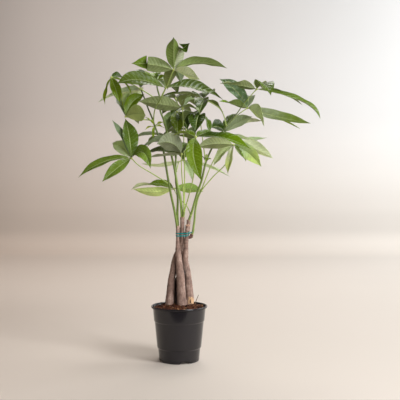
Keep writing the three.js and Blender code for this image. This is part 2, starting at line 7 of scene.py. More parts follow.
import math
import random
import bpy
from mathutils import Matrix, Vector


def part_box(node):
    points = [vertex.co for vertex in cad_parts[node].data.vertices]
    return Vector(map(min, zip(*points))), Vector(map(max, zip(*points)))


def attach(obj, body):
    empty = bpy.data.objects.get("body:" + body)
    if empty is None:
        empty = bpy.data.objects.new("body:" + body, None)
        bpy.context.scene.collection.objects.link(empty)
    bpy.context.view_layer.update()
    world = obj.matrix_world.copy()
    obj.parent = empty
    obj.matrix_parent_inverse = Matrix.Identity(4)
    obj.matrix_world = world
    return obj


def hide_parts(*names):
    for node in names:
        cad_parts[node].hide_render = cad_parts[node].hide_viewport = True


bl_info = {
    "name": "Potted Money Tree",
    "version": (1, 0, 0),
    "blender": (4, 5, 0),
    "location": "View3D > Sidebar > Money Tree",
    "description": "Dresses the packed money tree and sets it in a plain studio",
    "category": "Add Mesh",
}

from collections import namedtuple

import bpy
from mathutils import Quaternion, Vector, noise

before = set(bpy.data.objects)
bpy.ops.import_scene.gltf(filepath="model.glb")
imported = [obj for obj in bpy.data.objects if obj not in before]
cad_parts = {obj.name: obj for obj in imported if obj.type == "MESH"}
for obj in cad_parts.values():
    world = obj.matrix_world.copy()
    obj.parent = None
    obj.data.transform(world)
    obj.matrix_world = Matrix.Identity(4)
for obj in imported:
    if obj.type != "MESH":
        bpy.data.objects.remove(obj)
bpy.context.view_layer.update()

MM = 0.001
UP = Vector((0, 0, 1))
FRONT = Vector((0, -1, 0))
POT_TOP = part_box("pot")[1]
RIM_RADIUS = POT_TOP.x / MM
POT_HEIGHT = POT_TOP.z / MM

# The shoots are given as they stand in the front elevation: x and z as drawn at the pot's own
# distance, y the true depth. SIGHT is the point that elevation is seen from.
SIGHT = Vector((55, -1750, 424))

# How a leaflet looks: its upper side, its under side, its roughness, how much light it lets by and
# how much painted glare it has. A leaflet with two names has the upper side of the first and the
# under side of the second, and one with three turns to the third towards its tip.
# The tones are partly the leaflets' own greens and partly painted light and shade: lighter and darker
# copies of one green, so that each leaflet shows its own light or shade.
TONES = {
    "forest": ((0.022, 0.048, 0.001), (0.060, 0.105, 0.008), 0.26, 0.06, 0.0),
    "deep": ((0.042, 0.072, 0.006), (0.100, 0.138, 0.028), 0.26, 0.09, 0.05),
    "leaf": ((0.066, 0.108, 0.006), (0.140, 0.178, 0.055), 0.27, 0.13, 0.1),
    "green": ((0.096, 0.148, 0.014), (0.185, 0.230, 0.080), 0.27, 0.17, 0.1),
    "bright": ((0.100, 0.175, 0.001), (0.190, 0.270, 0.012), 0.27, 0.22, 0.0),
    "fresh": ((0.170, 0.270, 0.030), (0.240, 0.340, 0.080), 0.30, 0.26, 0.0),
    "moss": ((0.092, 0.132, 0.003), (0.150, 0.190, 0.016), 0.27, 0.20, 0.0),
    "dun": ((0.230, 0.235, 0.130), (0.250, 0.250, 0.150), 0.40, 0.20, 0.2),
    "olive": ((0.120, 0.155, 0.048), (0.180, 0.215, 0.090), 0.33, 0.18, 0.1),
    "sprout": ((0.180, 0.235, 0.012), (0.280, 0.320, 0.040), 0.36, 0.28, 0.0),
    "blue": ((0.120, 0.190, 0.080), (0.200, 0.260, 0.150), 0.20, 0.14, 0.9),
    "grey": ((0.180, 0.220, 0.125), (0.280, 0.315, 0.195), 0.38, 0.22, 0.25),
    "pale": ((0.400, 0.460, 0.290), (0.540, 0.580, 0.410), 0.44, 0.38, 0.1),
    "white": ((0.520, 0.560, 0.420), (0.680, 0.710, 0.560), 0.44, 0.38, 0.0),
    "lime": ((0.360, 0.420, 0.130), (0.420, 0.480, 0.180), 0.38, 0.36, 0.0),
}
DULL = ("dun", "olive", "blue", "grey", "pale", "white", "lime")

# Trunks, each from its buried foot to its cut top as (x, y, z, radius)
TRUNKS = {
    "front": [
        (8.5, 3, 108, 11), (7.2, 2, 145, 13.6), (5.8, 0, 166, 11.8), (4.6, -2, 205, 11),
        (1.6, -5, 238, 10.2), (-0.5, -7, 265, 8.6), (-3.2, -7, 291, 6.9), (-3.8, -6.2, 305, 5.4),
        (-4, -5, 318, 4.7), (-3.6, -3.8, 333, 4.7), (-3.5, -3.6, 355, 5),
    ],
    "left": [
        (-29, 16, 108, 9), (-26.5, 14, 145, 12), (-25.3, 14, 166, 10.6), (-22, 14, 205, 9.4),
        (-16, 14.8, 238, 9), (-12, 15.5, 262, 8.2), (-6.6, 15.5, 280, 7.5), (0, 14.4, 293, 6.8),
        (5.4, 12, 305, 6.2), (8, 8.6, 317, 5.8), (8.4, 4.8, 328, 5.5), (8.3, 3.6, 341, 5.6),
        (8, 4, 377.6, 5.8),
    ],
    "right": [
        (29, 23, 108, 9.5), (27, 22, 145, 12.2), (26.8, 23, 166, 11.2), (22.8, 26, 208, 10.2),
        (18.8, 31, 238, 9.6), (13.5, 33, 264, 8.7), (8, 30.6, 286, 7.6), (2.6, 28.4, 300, 7),
        (-1, 24.2, 311, 6.6), (-2.6, 17.4, 325, 5.8), (-3, 16.2, 341, 5.8), (-3, 15.4, 350, 6),
    ],
    "back": [
        (-9, 43, 108, 10), (-8, 39, 145, 13), (-6.5, 36, 166, 12), (-3, 27, 205, 10.4),
        (4, 18.5, 222, 9.3), (9.2, 13.8, 238, 9), (13, 8.6, 252, 8.6), (15.6, 4, 270, 7.9),
        (17.6, 1.2, 292, 6.7), (18.4, 0, 312, 5.8), (19.6, -0.8, 326, 5.5), (21, -1, 341, 5.8),
        (22.2, -2.2, 350, 6.3), (22.8, -4.8, 357, 6.2),
    ],
}
# Short stubs on the back trunk, which ends at the right: one above its cut top, a blunt one that
# faces the front, and a low one that carries the side shoot
STUBS = [
    [(21.6, 1, 344, 4.6), (23.4, 4.5, 352, 5), (24.2, 5.5, 361, 5.2), (24.8, 5, 371, 5.2)],
    [(21.5, -2, 344, 4), (22, -8.5, 345.5, 3.8), (22.2, -10, 346, 3.7)],
    [(19, 0, 325, 4.2), (26, 4, 325, 4.4), (31, 6.6, 326.5, 4.6), (33, 7.8, 332, 4.4)],
]
TWIG = [(41, 40, 131, 0.8), (43.5, 41, 148, 0.9), (48, 43, 159, 0.8), (51, 44, 166, 0.6)]

# Shoots, in front-elevation millimetres. A stem is its points, its radius at foot and top, and its
# painted shade, how light it is at each. A leaf is its hub, its leaflets and its stalk's points below
# the hub, and its shade is painted shade: how light the stalk is at its foot. A leaflet is its tip,
# its width, its bend (arch, or arch with lead and sway), its roll, its twist, its tone and, where it
# curls over, the turn, the start and end of the curl and how much wider the leaflet is beyond it.
Leaf = namedtuple("Leaf", "hub leaflets stalk shade young", defaults=((), 1, False))
SHOOTS = {
    "left": {
        "stems": [([
            (-4.6, -4, 349), (-13, -6, 397), (-24, -10, 448), (-36, -14, 519), (-43, -14, 559),
            (-56, -12, 597), (-65, -10, 620), (-71, -4, 639), (-83, 6, 668), (-101, 10, 717),
        ], 3.3, 1.8, (0.6, 0.26))],
        "leaves": [
            Leaf((-15, -80, 769), [
                ((-15, -140, 856), 40, 6, 28, 0, "deep"),
                ((28, -110, 840), 44, 12, -25, 90, "forest grey", (120, 0.72, 0.78, 1.0)),
                ((127, -95, 773), 40, 16, -25, 0, "green"),
                ((56, -150, 743), 38, 1, -50, 0, "white"),
                ((5, -20, 734), 34, 10, 0, 0, "grey"),
                ((-31, -15, 716), 34, 12, 0, 0, "leaf"),
                ((-127, -100, 786), 42, 5, 70, 0, "green olive", (-146, 0.64, 0.68, 1.15)),
            ], stalk=[(-69, -6, 632), (-64, -28, 665), (-43, -55, 704)], shade=0.6),
            Leaf((-103, 10, 720), [
                ((-215, 55, 683), 36, 6, -35, 70, "white"),
                ((-154, 80, 686), 36, 8, 25, 0, "pale"),
                ((-107, 85, 770), 34, 10, 0, 0, "grey"),
                ((-88, 105, 730), 34, 12, 0, 0, "green"),
                ((-117, 85, 681), 34, 12, 0, 0, "pale"),
            ]),
            Leaf((-142, -20, 645), [
                ((-166, 50, 692), 28, 8, 0, 0, "grey"),
                ((-92, 25, 704), 36, 12, 45, 0, "moss"),
                ((-89, -85, 648), 50, 6, -70, 0, "lime lime"),
                ((-135, 70, 709), 26, 10, 0, 0, "pale"),
                ((-107, 70, 625), 32, 10, 0, 0, "olive"),
            ], stalk=[(-70, -8, 635), (-100, -12, 638)]),
            Leaf((-127, -60, 535), [
                ((-268, -75, 483), 30, 15, -46, 0, "green"),
                ((-205, -110, 472), 32, 3, -60, 0, "green"),
                ((-178, -40, 636), 30, 4, -20, 0, "grey"),
                ((-143, -30, 640), 47, 6, 0, 0, "leaf"),
                ((-178, 10, 575), 38, 8, -55, 0, "pale"),
                ((-76, -100, 507), 38, (28, 0.38, 0), 60, 0, "green grey fresh"),
            ], stalk=[(-29, -11, 468), (-70, -26, 493), (-109, -48, 517)]),
            Leaf((-65, -10, 619), [
                ((-91, -14, 644), 10, 3, 0, 0, "sprout"),
                ((-91, -16, 610), 10, 3, 0, 0, "sprout"),
                ((-69, -20, 588), 10, 3, 0, 0, "sprout"),
                ((-40, -24, 630), 10, 3, 0, 0, "sprout"),
                ((-39, 4, 615), 10, 3, 0, 0, "sprout"),
            ], young=True),
        ],
    },
    "middle": {
        "stems": [
            ([
                (8, 5, 371), (3, 6, 429), (-5, 10, 465), (-13, 16, 509), (-19, 18, 535),
                (-40, 24, 633), (-50, 26, 660), (-52, 28, 697), (-58, 28, 719), (-60, 28, 737),
            ], 3.6, 1.8, (1, 0.4)),
            ([(8, 4, 371), (12, 0, 386), (13, -2, 397)], 3, 2.4, (0.8, 0.8)),
        ],
        "leaves": [
            Leaf((-36, 20, 721), [
                ((-165, -60, 732), 50, (15, 0.6, 0), -60, 0, "leaf grey"),
                ((-109, 100, 761), 34, 12, 0, 0, "pale"),
                ((117, 60, 689), 50, 17, 42, 0, "deep"),
                ((-3, 110, 705), 36, 14, 0, 0, "forest"),
                ((-46, 130, 753), 36, 14, 0, 0, "olive"),
            ], stalk=[(-51, 28, 690), (-44, 26, 706)]),
            Leaf((-180, -12, 749), [
                ((-197, -25, 677), 16, (4, 0.45, 3), 0, 0, "sprout"),
                ((-157, -35, 681), 30, (4, 0.45, 3), 38, 0, "moss grey"),
                ((-148, -15, 665), 20, (4, 0.45, -4), 0, 0, "sprout"),
                ((-127, -22, 702), 18, 12, 0, 0, "sprout"),
                ((-146, 20, 746), 28, 4, 40, 0, "deep"),
            ], stalk=[(-51, 27, 681), (-71, 8, 698), (-99, -13, 716), (-141, -15, 738)]),
            Leaf((9, -20, 668), [
                ((-109, -18, 686), 44, 1, 60, 0, "olive"),
                ((21, -70, 702), 36, 6, 0, 0, "green"),
                ((44, -62, 692), 28, 8, 0, 0, "pale"),
                ((55, -82, 656), 26, 8, -10, 0, "green"),
                ((-22, 38, 650), 30, 8, 0, 0, "forest"),
            ], stalk=[(13, -2, 393), (14, -2, 450), (14, -8, 526), (11, -14, 610)]),
            Leaf((6, -60, 546), [
                ((-60, -95, 572), 54, 17, 65, 0, "dun dun"),
                ((-107, -45, 555), 30, 30, -40, 0, "grey"),
                ((-87, 110, 550), 34, 8, -40, 0, "leaf"),
                ((-80, -20, 537), 26, 0, 8, 0, "grey"),
                ((55, -30, 561), 32, 12, 0, 0, "olive"),
                ((44, 30, 567), 36, 14, 0, 0, "green"),
            ], stalk=[(12, -2, 393), (12, -10, 429), (6, -40, 507)]),
            Leaf((44, -150, 591), [
                ((59, -190, 475), 44, (10, 0.45, 16), 5, 0, "moss"),
                ((190, -190, 559), 38, 12, 35, 0, "forest green bright"),
                ((-18, -120, 594), 34, 8, -12, 0, "moss"),
                ((92, -105, 604), 28, 4, 20, 0, "leaf"),
            ], stalk=[(13, -2, 393), (20, -16, 416), (30, -45, 453), (38, -75, 488), (42, -115, 538)]),
            Leaf((-59, 28, 737), [
                ((-87, 10, 743), 14, 10, 0, 0, "green"),
                ((-26, 14, 746), 14, 10, 0, 0, "bright"),
                ((-43, 50, 765), 14, 10, 0, 0, "green"),
                ((-71, 34, 764), 10, 3, 0, 0, "lime"),
                ((-35, 40, 741), 10, 3, 0, 0, "lime"),
            ], young=True),
        ],
    },
    "right": {
        "stems": [([
            (24.4, 5.2, 361), (27, 3, 374), (33, -4, 391), (47, -14, 440), (59, -20, 475),
            (68, -24, 515), (71, -24, 525), (84, -22, 556), (103, -16, 591), (126, -10, 620),
        ], 3.5, 2, (0.75, 0.3))],
        "leaves": [
            Leaf((-14, 46, 454), [
                ((-123, 20, 454), 30, -10, 65, 0, "lime"),
                ((-128, 96, 450), 24, (13, 0.7, 0), 10, 0, "pale"),
                ((-81, 30, 466), 30, 6, -50, 0, "moss"),
                ((64, 74, 446), 32, 4, -60, 0, "fresh fresh"),
            ], stalk=[(31, -4, 383), (21, 12, 406), (-5, 37, 435)]),
            Leaf((181, 10, 668), [
                ((106, 60, 745), 44, 10, -45, 0, "blue"),
                ((190, 85, 700), 38, 8, 0, 0, "grey"),
                ((105, -10, 686), 32, 2, 14, -110, "bright leaf"),
                ((349, -30, 627), 38, -4, 55, 0, "grey grey green"),
                ((225, -60, 619), 44, 10, -70, 0, "pale"),
                ((322, 40, 612), 30, 4, 20, 0, "bright"),
            ], stalk=[(124, -11, 618), (153, 0, 648)], shade=0.4),
            Leaf((205, 20, 718), [
                ((107, -10, 733), 36, 3, 15, -110, "olive"),
                ((243, -85, 701), 50, 20, 0, 0, "leaf"),
                ((327, 40, 675), 34, 12, 10, 0, "olive"),
                ((374, 0, 639), 34, (21, 0.76, 0), 30, 0, "leaf leaf green"),
                ((225, 140, 716), 38, 14, 0, 0, "green"),
            ], stalk=[(126, -10, 619), (152, -2, 652), (169, 4, 676)], shade=0.3),
            Leaf((54, -40, 649), [
                ((43, -105, 602), 48, 12, 0, 0, "forest"),
                ((79, -66, 599), 22, 12, 0, 0, "leaf"),
                ((21, -85, 617), 36, 10, 0, 0, "forest"),
                ((71, 30, 686), 34, 12, 0, 0, "deep"),
                ((7, 20, 631), 36, 12, 0, 0, "leaf"),
            ], stalk=[(70, -24, 522), (64, -30, 570)]),
            Leaf((66, 60, 692), [
                ((55, -10, 651), 42, 12, 0, 0, "leaf"),
                ((116, 70, 657), 24, 5, 0, 0, "deep"),
                ((-46, 40, 700), 34, 10, -15, 0, "leaf"),
                ((92, 150, 702), 36, 14, 0, 0, "leaf"),
                ((34, 150, 689), 36, 14, 0, 0, "leaf"),
            ], stalk=[(125, -10, 619), (118, 20, 648), (106, 40, 668)]),
            Leaf((71, -24, 525), [
                ((58, -30, 540), 10, 3, 0, 0, "olive"),
                ((86, -28, 533), 10, 3, 0, 0, "bright"),
                ((74, -40, 546), 10, 3, 0, 0, "lime"),
            ], young=True),
        ],
    },
    "side": {
        "stems": [([
            (32.2, 7, 325), (33.4, 7.8, 331), (36.4, 9.6, 341), (38.2, 11, 355),
            (40.6, 13, 373), (42.5, 16, 397), (50, 18, 432), (59, 20, 451),
        ], 3.2, 2.4, (0.6, 0.75))],
        "leaves": [
            Leaf((144, -40, 570), [
                ((129, -60, 493), 23, 4, 0, 0, "white pale lime"),
                ((177, -80, 525), 18, 8, 0, 0, "bright"),
                ((91, -20, 515), 30, 6, -65, 0, "pale"),
                ((47, -75, 564), 40, 6, 60, 0, "dun olive"),
                ((249, -60, 534), 43, 8, -50, 0, "pale"),
                ((218, -100, 512), 40, 8, 65, 0, "pale white lime"),
                ((208, -5, 582), 22, -2, 30, 0, "bright"),
            ], stalk=[(58, 20, 449), (92, 0, 488), (125, -20, 522)]),
            Leaf((121, 60, 604), [
                ((194, 20, 645), 36, 6, -50, 0, "grey"),
                ((221, 100, 634), 36, 8, -30, 0, "grey"),
                ((84, -5, 616), 46, 8, -60, 0, "forest"),
                ((151, 120, 653), 34, 8, 0, 0, "leaf"),
                ((233, 0, 590), 30, (-12, 0.6, 0), 0, 60, "pale"),
            ], stalk=[(58, 20, 449), (79, 30, 503), (100, 45, 549)]),
        ],
    },
    "rear": {
        "stems": [([
            (-3, 15, 344), (-5, 16, 387), (-4, 22, 432), (-9, 32, 477), (-9, 48, 530),
            (-3, 62, 583), (5, 75, 631),
        ], 3.4, 1.9, (0.8, 0.4))],
        "leaves": [
            Leaf((10, 150, 530), [
                ((-101, 190, 521), 34, -14, 12, 0, "pale"),
                ((137, 170, 485), 32, 5, 8, 0, "pale"),
                ((34, 110, 477), 34, 6, 0, 0, "pale"),
                ((-19, 240, 538), 36, 14, 0, 0, "green"),
                ((40, 245, 545), 36, 14, 0, 0, "green"),
            ], stalk=[(-8, 38, 500), (0, 100, 525)]),
            Leaf((-30, 118, 588), [
                ((-123, 125, 588), 30, 10, -25, 0, "grey"),
                ((-85, 195, 565), 34, 12, 0, 0, "leaf"),
                ((-15, 220, 568), 36, 14, 0, 0, "green"),
                ((50, 180, 575), 34, 12, 0, 0, "deep"),
            ], stalk=[(-9, 50, 535), (-18, 80, 562)]),
            Leaf((18, 185, 610), [
                ((-46, 215, 590), 34, 10, 0, 0, "deep"),
                ((-20, 285, 578), 36, 14, 0, 0, "forest"),
                ((38, 290, 578), 36, 14, 0, 0, "forest"),
                ((30, 200, 520), 34, 10, 0, 0, "forest"),
            ], stalk=[(4, 74, 626), (14, 130, 625)]),
            Leaf((-6, 72, 657), [
                ((-32, 52, 606), 44, 6, -45, 0, "olive"),
                ((-4, 42, 600), 44, 6, 0, 0, "moss"),
                ((22, 52, 610), 38, 6, 45, 0, "forest"),
                ((-46, 120, 652), 34, 8, 0, 0, "deep"),
                ((32, 130, 655), 34, 8, 0, 0, "deep"),
            ], stalk=[(4, 74, 626), (0, 80, 645)]),
            Leaf((-10, 170, 693), [
                ((-52, 225, 672), 34, 12, 0, 0, "deep"),
                ((-5, 275, 680), 36, 14, 0, 0, "forest"),
                ((48, 240, 670), 34, 12, 0, 0, "deep"),
                ((62, 165, 688), 34, 10, 0, 0, "deep"),
                ((-40, 120, 690), 30, 8, 0, 0, "deep"),
            ], stalk=[(5, 75, 630), (-4, 130, 680)]),
        ],
    },
}


def lerp(a, b, share):
    return a + (b - a) * share


def smooth(value, low, high):
    """0 below low, 1 above high, and an even curve between."""
    share = min(1.0, max(0.0, (value - low) / (high - low)))
    return share * share * (3 - 2 * share)


def between(low, high, share):
    """Each number of low, moved its share of the way to high."""
    return tuple(lerp(a, b, share) for a, b in zip(low, high))


def seen(point):
    """A true place, in millimetres, for a point of the front elevation."""
    x, y, z = point
    away = 1 - y / SIGHT.y
    return Vector((SIGHT.x + (x - SIGHT.x) * away, y, SIGHT.z + (z - SIGHT.z) * away))


# Shader building

class Value:
    """A node's output; sums and products of values add Math nodes."""

    def __init__(self, finish, socket):
        self.finish = finish
        self.socket = socket

    def math(self, operation, *others):
        return self.finish.node("ShaderNodeMath", {"operation": operation}, [self, *others])

    def __add__(self, other):
        return self.math("ADD", other)

    def __sub__(self, other):
        return self.math("SUBTRACT", other)

    def __mul__(self, other):
        return self.math("MULTIPLY", other)

    def __pow__(self, other):
        return self.math("POWER", other)

    def __rsub__(self, other):
        return self.finish.node("ShaderNodeMath", {"operation": "SUBTRACT"}, [other, self])

    __radd__ = __add__
    __rmul__ = __mul__


class Finish:
    """A material under construction."""

    def __init__(self, name):
        self.material = bpy.data.materials.new(name)
        self.material.use_nodes = True
        self.tree = self.material.node_tree
        self.tree.nodes.clear()

    def node(self, kind, settings=None, inputs=(), output=0):
        made = self.tree.nodes.new(kind)
        for key, setting in (settings or {}).items():
            if key == "stops":
                self.set_stops(made.color_ramp, setting)
            else:
                setattr(made, key, setting)
        pairs = inputs.items() if isinstance(inputs, dict) else enumerate(inputs)
        for key, value in pairs:
            socket = made.inputs[key]
            if isinstance(value, Value):
                self.tree.links.new(value.socket, socket)
            else:
                socket.default_value = value
        return Value(self, made.outputs[output])

    @staticmethod
    def set_stops(ramp, stops):
        while len(ramp.elements) < len(stops):
            ramp.elements.new(1.0)
        for element, (position, colour) in zip(ramp.elements, stops):
            element.position = position
            element.color = (*colour, 1.0)

    def place(self):
        return self.node("ShaderNodeTexCoord", output="Object")

    def mark(self, name, output="Vector"):
        settings = {"attribute_type": "GEOMETRY", "attribute_name": name}
        return self.node("ShaderNodeAttribute", settings, output=output)

    def parts(self, vector):
        split = self.node("ShaderNodeSeparateXYZ", inputs=[vector])
        outputs = split.socket.node.outputs
        return [Value(self, outputs[axis]) for axis in "XYZ"]

    def stretched(self, vector, scale):
        return self.node("ShaderNodeMapping", inputs={"Vector": vector, "Scale": scale})

    def noise(self, vector, scale, detail=3.0, roughness=0.55):
        inputs = {"Vector": vector, "Scale": scale, "Detail": detail, "Roughness": roughness}
        return self.node("ShaderNodeTexNoise", inputs=inputs, output="Fac")

    def cells(self, vector, scale, feature="F1"):
        inputs = {"Vector": vector, "Scale": scale}
        return self.node("ShaderNodeTexVoronoi", {"feature": feature}, inputs, "Distance")

    def smooth(self, value, low, high):
        """0 at low, 1 at high, and an even curve between."""
        settings = {"interpolation_type": "SMOOTHSTEP"}
        return self.node("ShaderNodeMapRange", settings, [value, low, high])

    def band(self, value, rise, fall):
        """1 between its rise and its fall, each given as where it is 0 and where it is 1."""
        return self.smooth(value, *rise) * self.smooth(value, *fall)

    def stripes(self, phase):
        """How near the phase is to a whole number: 1 on it, and 0 midway between two."""
        return (phase.math("FRACT") - 0.5).math("ABSOLUTE") * 2.0

    def ramp(self, value, stops):
        return self.node("ShaderNodeValToRGB", {"stops": stops}, [value])

    def mix(self, share, one, other, blend="MIX"):
        settings = {"data_type": "RGBA", "blend_type": blend}
        one, other = [v if isinstance(v, Value) else (*v, 1.0) for v in (one, other)]
        return self.node("ShaderNodeMix", settings, {0: share, 6: one, 7: other}, output=2)

    def grey(self, value):
        """A colour whose three parts are this value."""
        return self.node("ShaderNodeCombineColor", inputs=[value, value, value])

    def scaled(self, colour, value):
        return self.mix(1.0, colour, self.grey(value), "MULTIPLY")

    def bump(self, height, distance, strength=1.0):
        inputs = {"Strength": strength, "Distance": distance, "Height": height}
        return self.node("ShaderNodeBump", inputs=inputs)

    def surface(self, colour, rough, normal=None, shine=0.5):
        inputs = {"Base Color": colour, "Roughness": rough, "Specular IOR Level": shine}
        if normal is not None:
            inputs["Normal"] = normal
        return self.node("ShaderNodeBsdfPrincipled", inputs=inputs)

    def done(self, shader):
        out = self.tree.nodes.new("ShaderNodeOutputMaterial")
        self.tree.links.new(shader.socket, out.inputs["Surface"])
        return self.material


# Places on the pieces, in metres, each as where its effect is nought and where it is full: dust on the
# pot, painted shade on the mix by the wall and low in the pot, and painted light and shade on the paper
DUSTY = (0.12, 0.02)
WALL_SHADE = (0.060, 0.067)
LOW_SHADE_FROM = (0.02, 0.11)
BRIGHT_BAND = ((0.35, 0.7), (1.3, 0.95))
BEND_SHADE_BAND = ((0.10, 0.18), (0.38, 0.25))
BACK_LIGHT_FROM = (3.0, 3.7)
BACK_LIGHT_BELOW = (0.16, 0.04)
# How strongly the mix and its chips mirror
EARTH_SHINE = 0.2
# How strongly the plastic mirrors
PLASTIC_SHINE = 0.6


def plastic_finish(settings):
    """Moulded black plastic: satin, a little dusty, with faint flow marks."""
    finish = Finish("moulded_plastic")
    place = finish.place()
    cloud = finish.noise(place, 14.0, 4.0)
    grain = finish.noise(place, 900.0, 2.0)
    flow = finish.noise(finish.stretched(place, (60.0, 60.0, 8.0)), 1.0, 3.0)
    height = finish.parts(place)[2]
    dust = finish.smooth(cloud, 0.45, 0.8) * finish.smooth(height, *DUSTY) * 0.3
    colour = finish.mix(dust, settings.plastic, settings.dust)
    colour = finish.scaled(colour, 0.85 + 0.3 * cloud)
    rough = settings.roughness + 0.12 * (cloud - 0.5) + 0.06 * (grain - 0.5)
    normal = finish.bump(0.03 * grain + 0.5 * flow, 0.00012, 0.5)
    return finish.done(finish.surface(colour, rough, normal, PLASTIC_SHINE))


def mix_finish(settings):
    """Moist bark and coir: reddish brown, mottled and crumbly, with painted shade by the wall and low
    down.
    """
    finish = Finish("potting_mix")
    place = finish.place()
    crumbs = finish.cells(place, 420.0)
    coarse = finish.noise(place, 90.0, 5.0, 0.65)
    fine = finish.noise(place, 700.0, 3.0)
    tone = coarse * 0.6 + crumbs * 0.5
    colour = finish.ramp(tone, [
        (0.25, settings.mix_dark), (0.5, settings.mix_brown), (0.8, settings.mix_tan),
    ])
    across, deep, height = finish.parts(place)
    reach = (across * across + deep * deep) ** 0.5
    # Painted shade: the mix is darkened low in the pot, where it shows in shadow through the foot
    # notches
    dry = 0.05 + 0.95 * finish.smooth(height, *LOW_SHADE_FROM)
    light = (1.0 - 0.7 * finish.smooth(reach, *WALL_SHADE)) * dry
    colour = finish.scaled(colour, (0.7 + 0.6 * fine) * light)
    normal = finish.bump(crumbs + 0.7 * fine + coarse, 0.0012)
    rough = 0.85 + 0.1 * (fine - 0.5)
    return finish.done(finish.surface(colour, rough, normal, EARTH_SHINE))


def chip_finish():
    """Bark chips and fibres: each has its own tone, with grain along it."""
    finish = Finish("bark_chips")
    tint = finish.mark("tint", "Color")
    place = finish.place()
    grain = finish.noise(place, 600.0, 4.0, 0.7)
    colour = finish.scaled(tint, 0.55 + 0.9 * grain)
    normal = finish.bump(grain, 0.0006)
    rough = 0.75 + 0.2 * grain
    return finish.done(finish.surface(colour, rough, normal, EARTH_SHINE))


def bark_finish(settings):
    """Young bark: pinkish grey brown, ringed across, with pale lenticels and darker streaks."""
    finish = Finish("young_bark")
    place = finish.place()
    along = finish.parts(finish.mark("place"))[1]
    cloud = finish.noise(place, 45.0, 4.0, 0.6)
    patchy = finish.noise(finish.stretched(place, (1.0, 1.0, 0.45)), 120.0, 4.0, 0.65)
    streak = finish.noise(finish.stretched(place, (520.0, 520.0, 60.0)), 1.0, 4.0, 0.6)
    fine = finish.noise(finish.stretched(place, (260.0, 260.0, 1500.0)), 1.0, 3.0, 0.6)
    warp = finish.noise(place, 60.0, 2.0)
    ring = finish.stripes(along * 95.0 + warp * 2.6)
    groove = finish.smooth(ring, 0.86, 1.0) * finish.smooth(cloud, 0.35, 0.6)
    specks = finish.cells(finish.stretched(place, (1.0, 1.0, 1.6)), 330.0)
    lenticel = finish.smooth(specks, 0.24, 0.12) * finish.smooth(patchy, 0.48, 0.62)
    tone = 0.5 * cloud + 0.35 * patchy + 0.3 * streak - 0.07
    colour = finish.ramp(tone, [
        (0.33, settings.bark_dark), (0.5, settings.bark_mid), (0.68, settings.bark_light),
    ])
    colour = finish.mix(groove * 0.55, colour, settings.bark_dark)
    colour = finish.mix(lenticel * 0.7, colour, settings.bark_pale)
    colour = finish.scaled(colour, 0.8 + 0.4 * fine)
    # The paint on the bark: the peeled patch, the nub and the rings, and painted shade between the
    # trunks
    colour = finish.mix(finish.mark("tint", "Alpha"), colour, finish.mark("tint", "Color"))
    height = 0.5 * fine + 0.8 * streak + 0.7 * patchy - 1.3 * groove + 0.5 * lenticel
    normal = finish.bump(height, 0.0007)
    rough = 0.66 + 0.25 * (patchy - 0.5)
    return finish.done(finish.surface(colour, rough, normal))


def leaf_finish(name, settings, through):
    """A leaflet: its own green, paler veins and midrib, painted glare, glossy above and dull below."""
    finish = Finish(name)
    tint = finish.mark("tint", "Color")
    across, along, under = finish.parts(finish.mark("place"))
    gloss, glow, painted_glare = finish.parts(finish.mark("mark"))
    place = finish.place()
    out = across.math("ABSOLUTE")
    phase = along * settings.veins - out * 1.15 - out * out * 0.5
    phase = phase + 0.35 * finish.noise(place, 60.0, 1.0)
    line = finish.stripes(phase)
    vein = finish.smooth(line, 0.72, 0.97) * (1.0 - 0.55 * out) * finish.smooth(along, 0.02, 0.12)
    rib = finish.smooth(out, 0.085, 0.03)
    net = finish.cells(place, 520.0, "DISTANCE_TO_EDGE")
    mesh = finish.smooth(net, 0.1, 0.0)
    cloud = finish.noise(place, 38.0, 3.0)
    fine = finish.noise(place, 260.0, 3.0)
    colour = finish.scaled(tint, 0.22 + 1.0 * cloud + 0.56 * fine)
    lines = finish.mix(0.6, settings.vein, finish.scaled(tint, 2.4))
    colour = finish.mix((vein * 0.36 + mesh * 0.14).math("MINIMUM", 0.5), colour, lines)
    # Painted glare: lighter patches on the blade that stand in for highlights
    patch = finish.smooth(finish.noise(place, 110.0, 5.0, 0.7), 0.48, 0.66)
    colour = finish.mix(painted_glare * patch * (1.0 - line * 0.6), colour, settings.painted_glare)
    colour = finish.mix(rib * (0.75 - 0.25 * under), colour, settings.midrib)
    edge = finish.smooth(out, 0.955, 1.0)
    colour = finish.mix(edge * 0.3, colour, settings.midrib)
    side = 1.0 - 2.0 * under
    height = side * (0.55 * (1.0 - line * line) * (1.0 - 0.4 * out) - 0.35 * vein) + 0.05 * fine
    height = height - 0.015 * side * mesh
    normal = finish.bump(height, settings.vein_depth * MM, 0.8)
    rough = gloss + under * 0.16 + 0.14 * (fine - 0.5) + 0.1 * (cloud - 0.5)
    leafy = finish.surface(colour, rough, normal, settings.shine)
    inputs = {"Color": (*through, 1.0), "Normal": normal}
    lit = finish.node("ShaderNodeBsdfTranslucent", inputs=inputs)
    return finish.done(finish.node("ShaderNodeMixShader", inputs=[glow, leafy, lit]))


def stem_finish(settings):
    """Green stems and leaf stalks, striped lengthwise, with a few pale specks."""
    finish = Finish("green_stem")
    # The tint carries each stem's and stalk's painted shade
    tint = finish.mark("tint", "Color")
    place = finish.place()
    stripe = finish.noise(finish.stretched(place, (900.0, 900.0, 30.0)), 1.0, 3.0)
    cloud = finish.noise(place, 60.0, 3.0)
    speck = finish.smooth(finish.cells(place, 500.0), 0.22, 0.1)
    colour = finish.scaled(tint, 0.30 + 0.90 * stripe + 0.62 * cloud)
    colour = finish.mix(speck * 0.3, colour, settings.midrib)
    normal = finish.bump(stripe + 0.4 * speck, 0.00025)
    rough = 0.42 + 0.16 * (cloud - 0.5)
    return finish.done(finish.surface(colour, rough, normal))


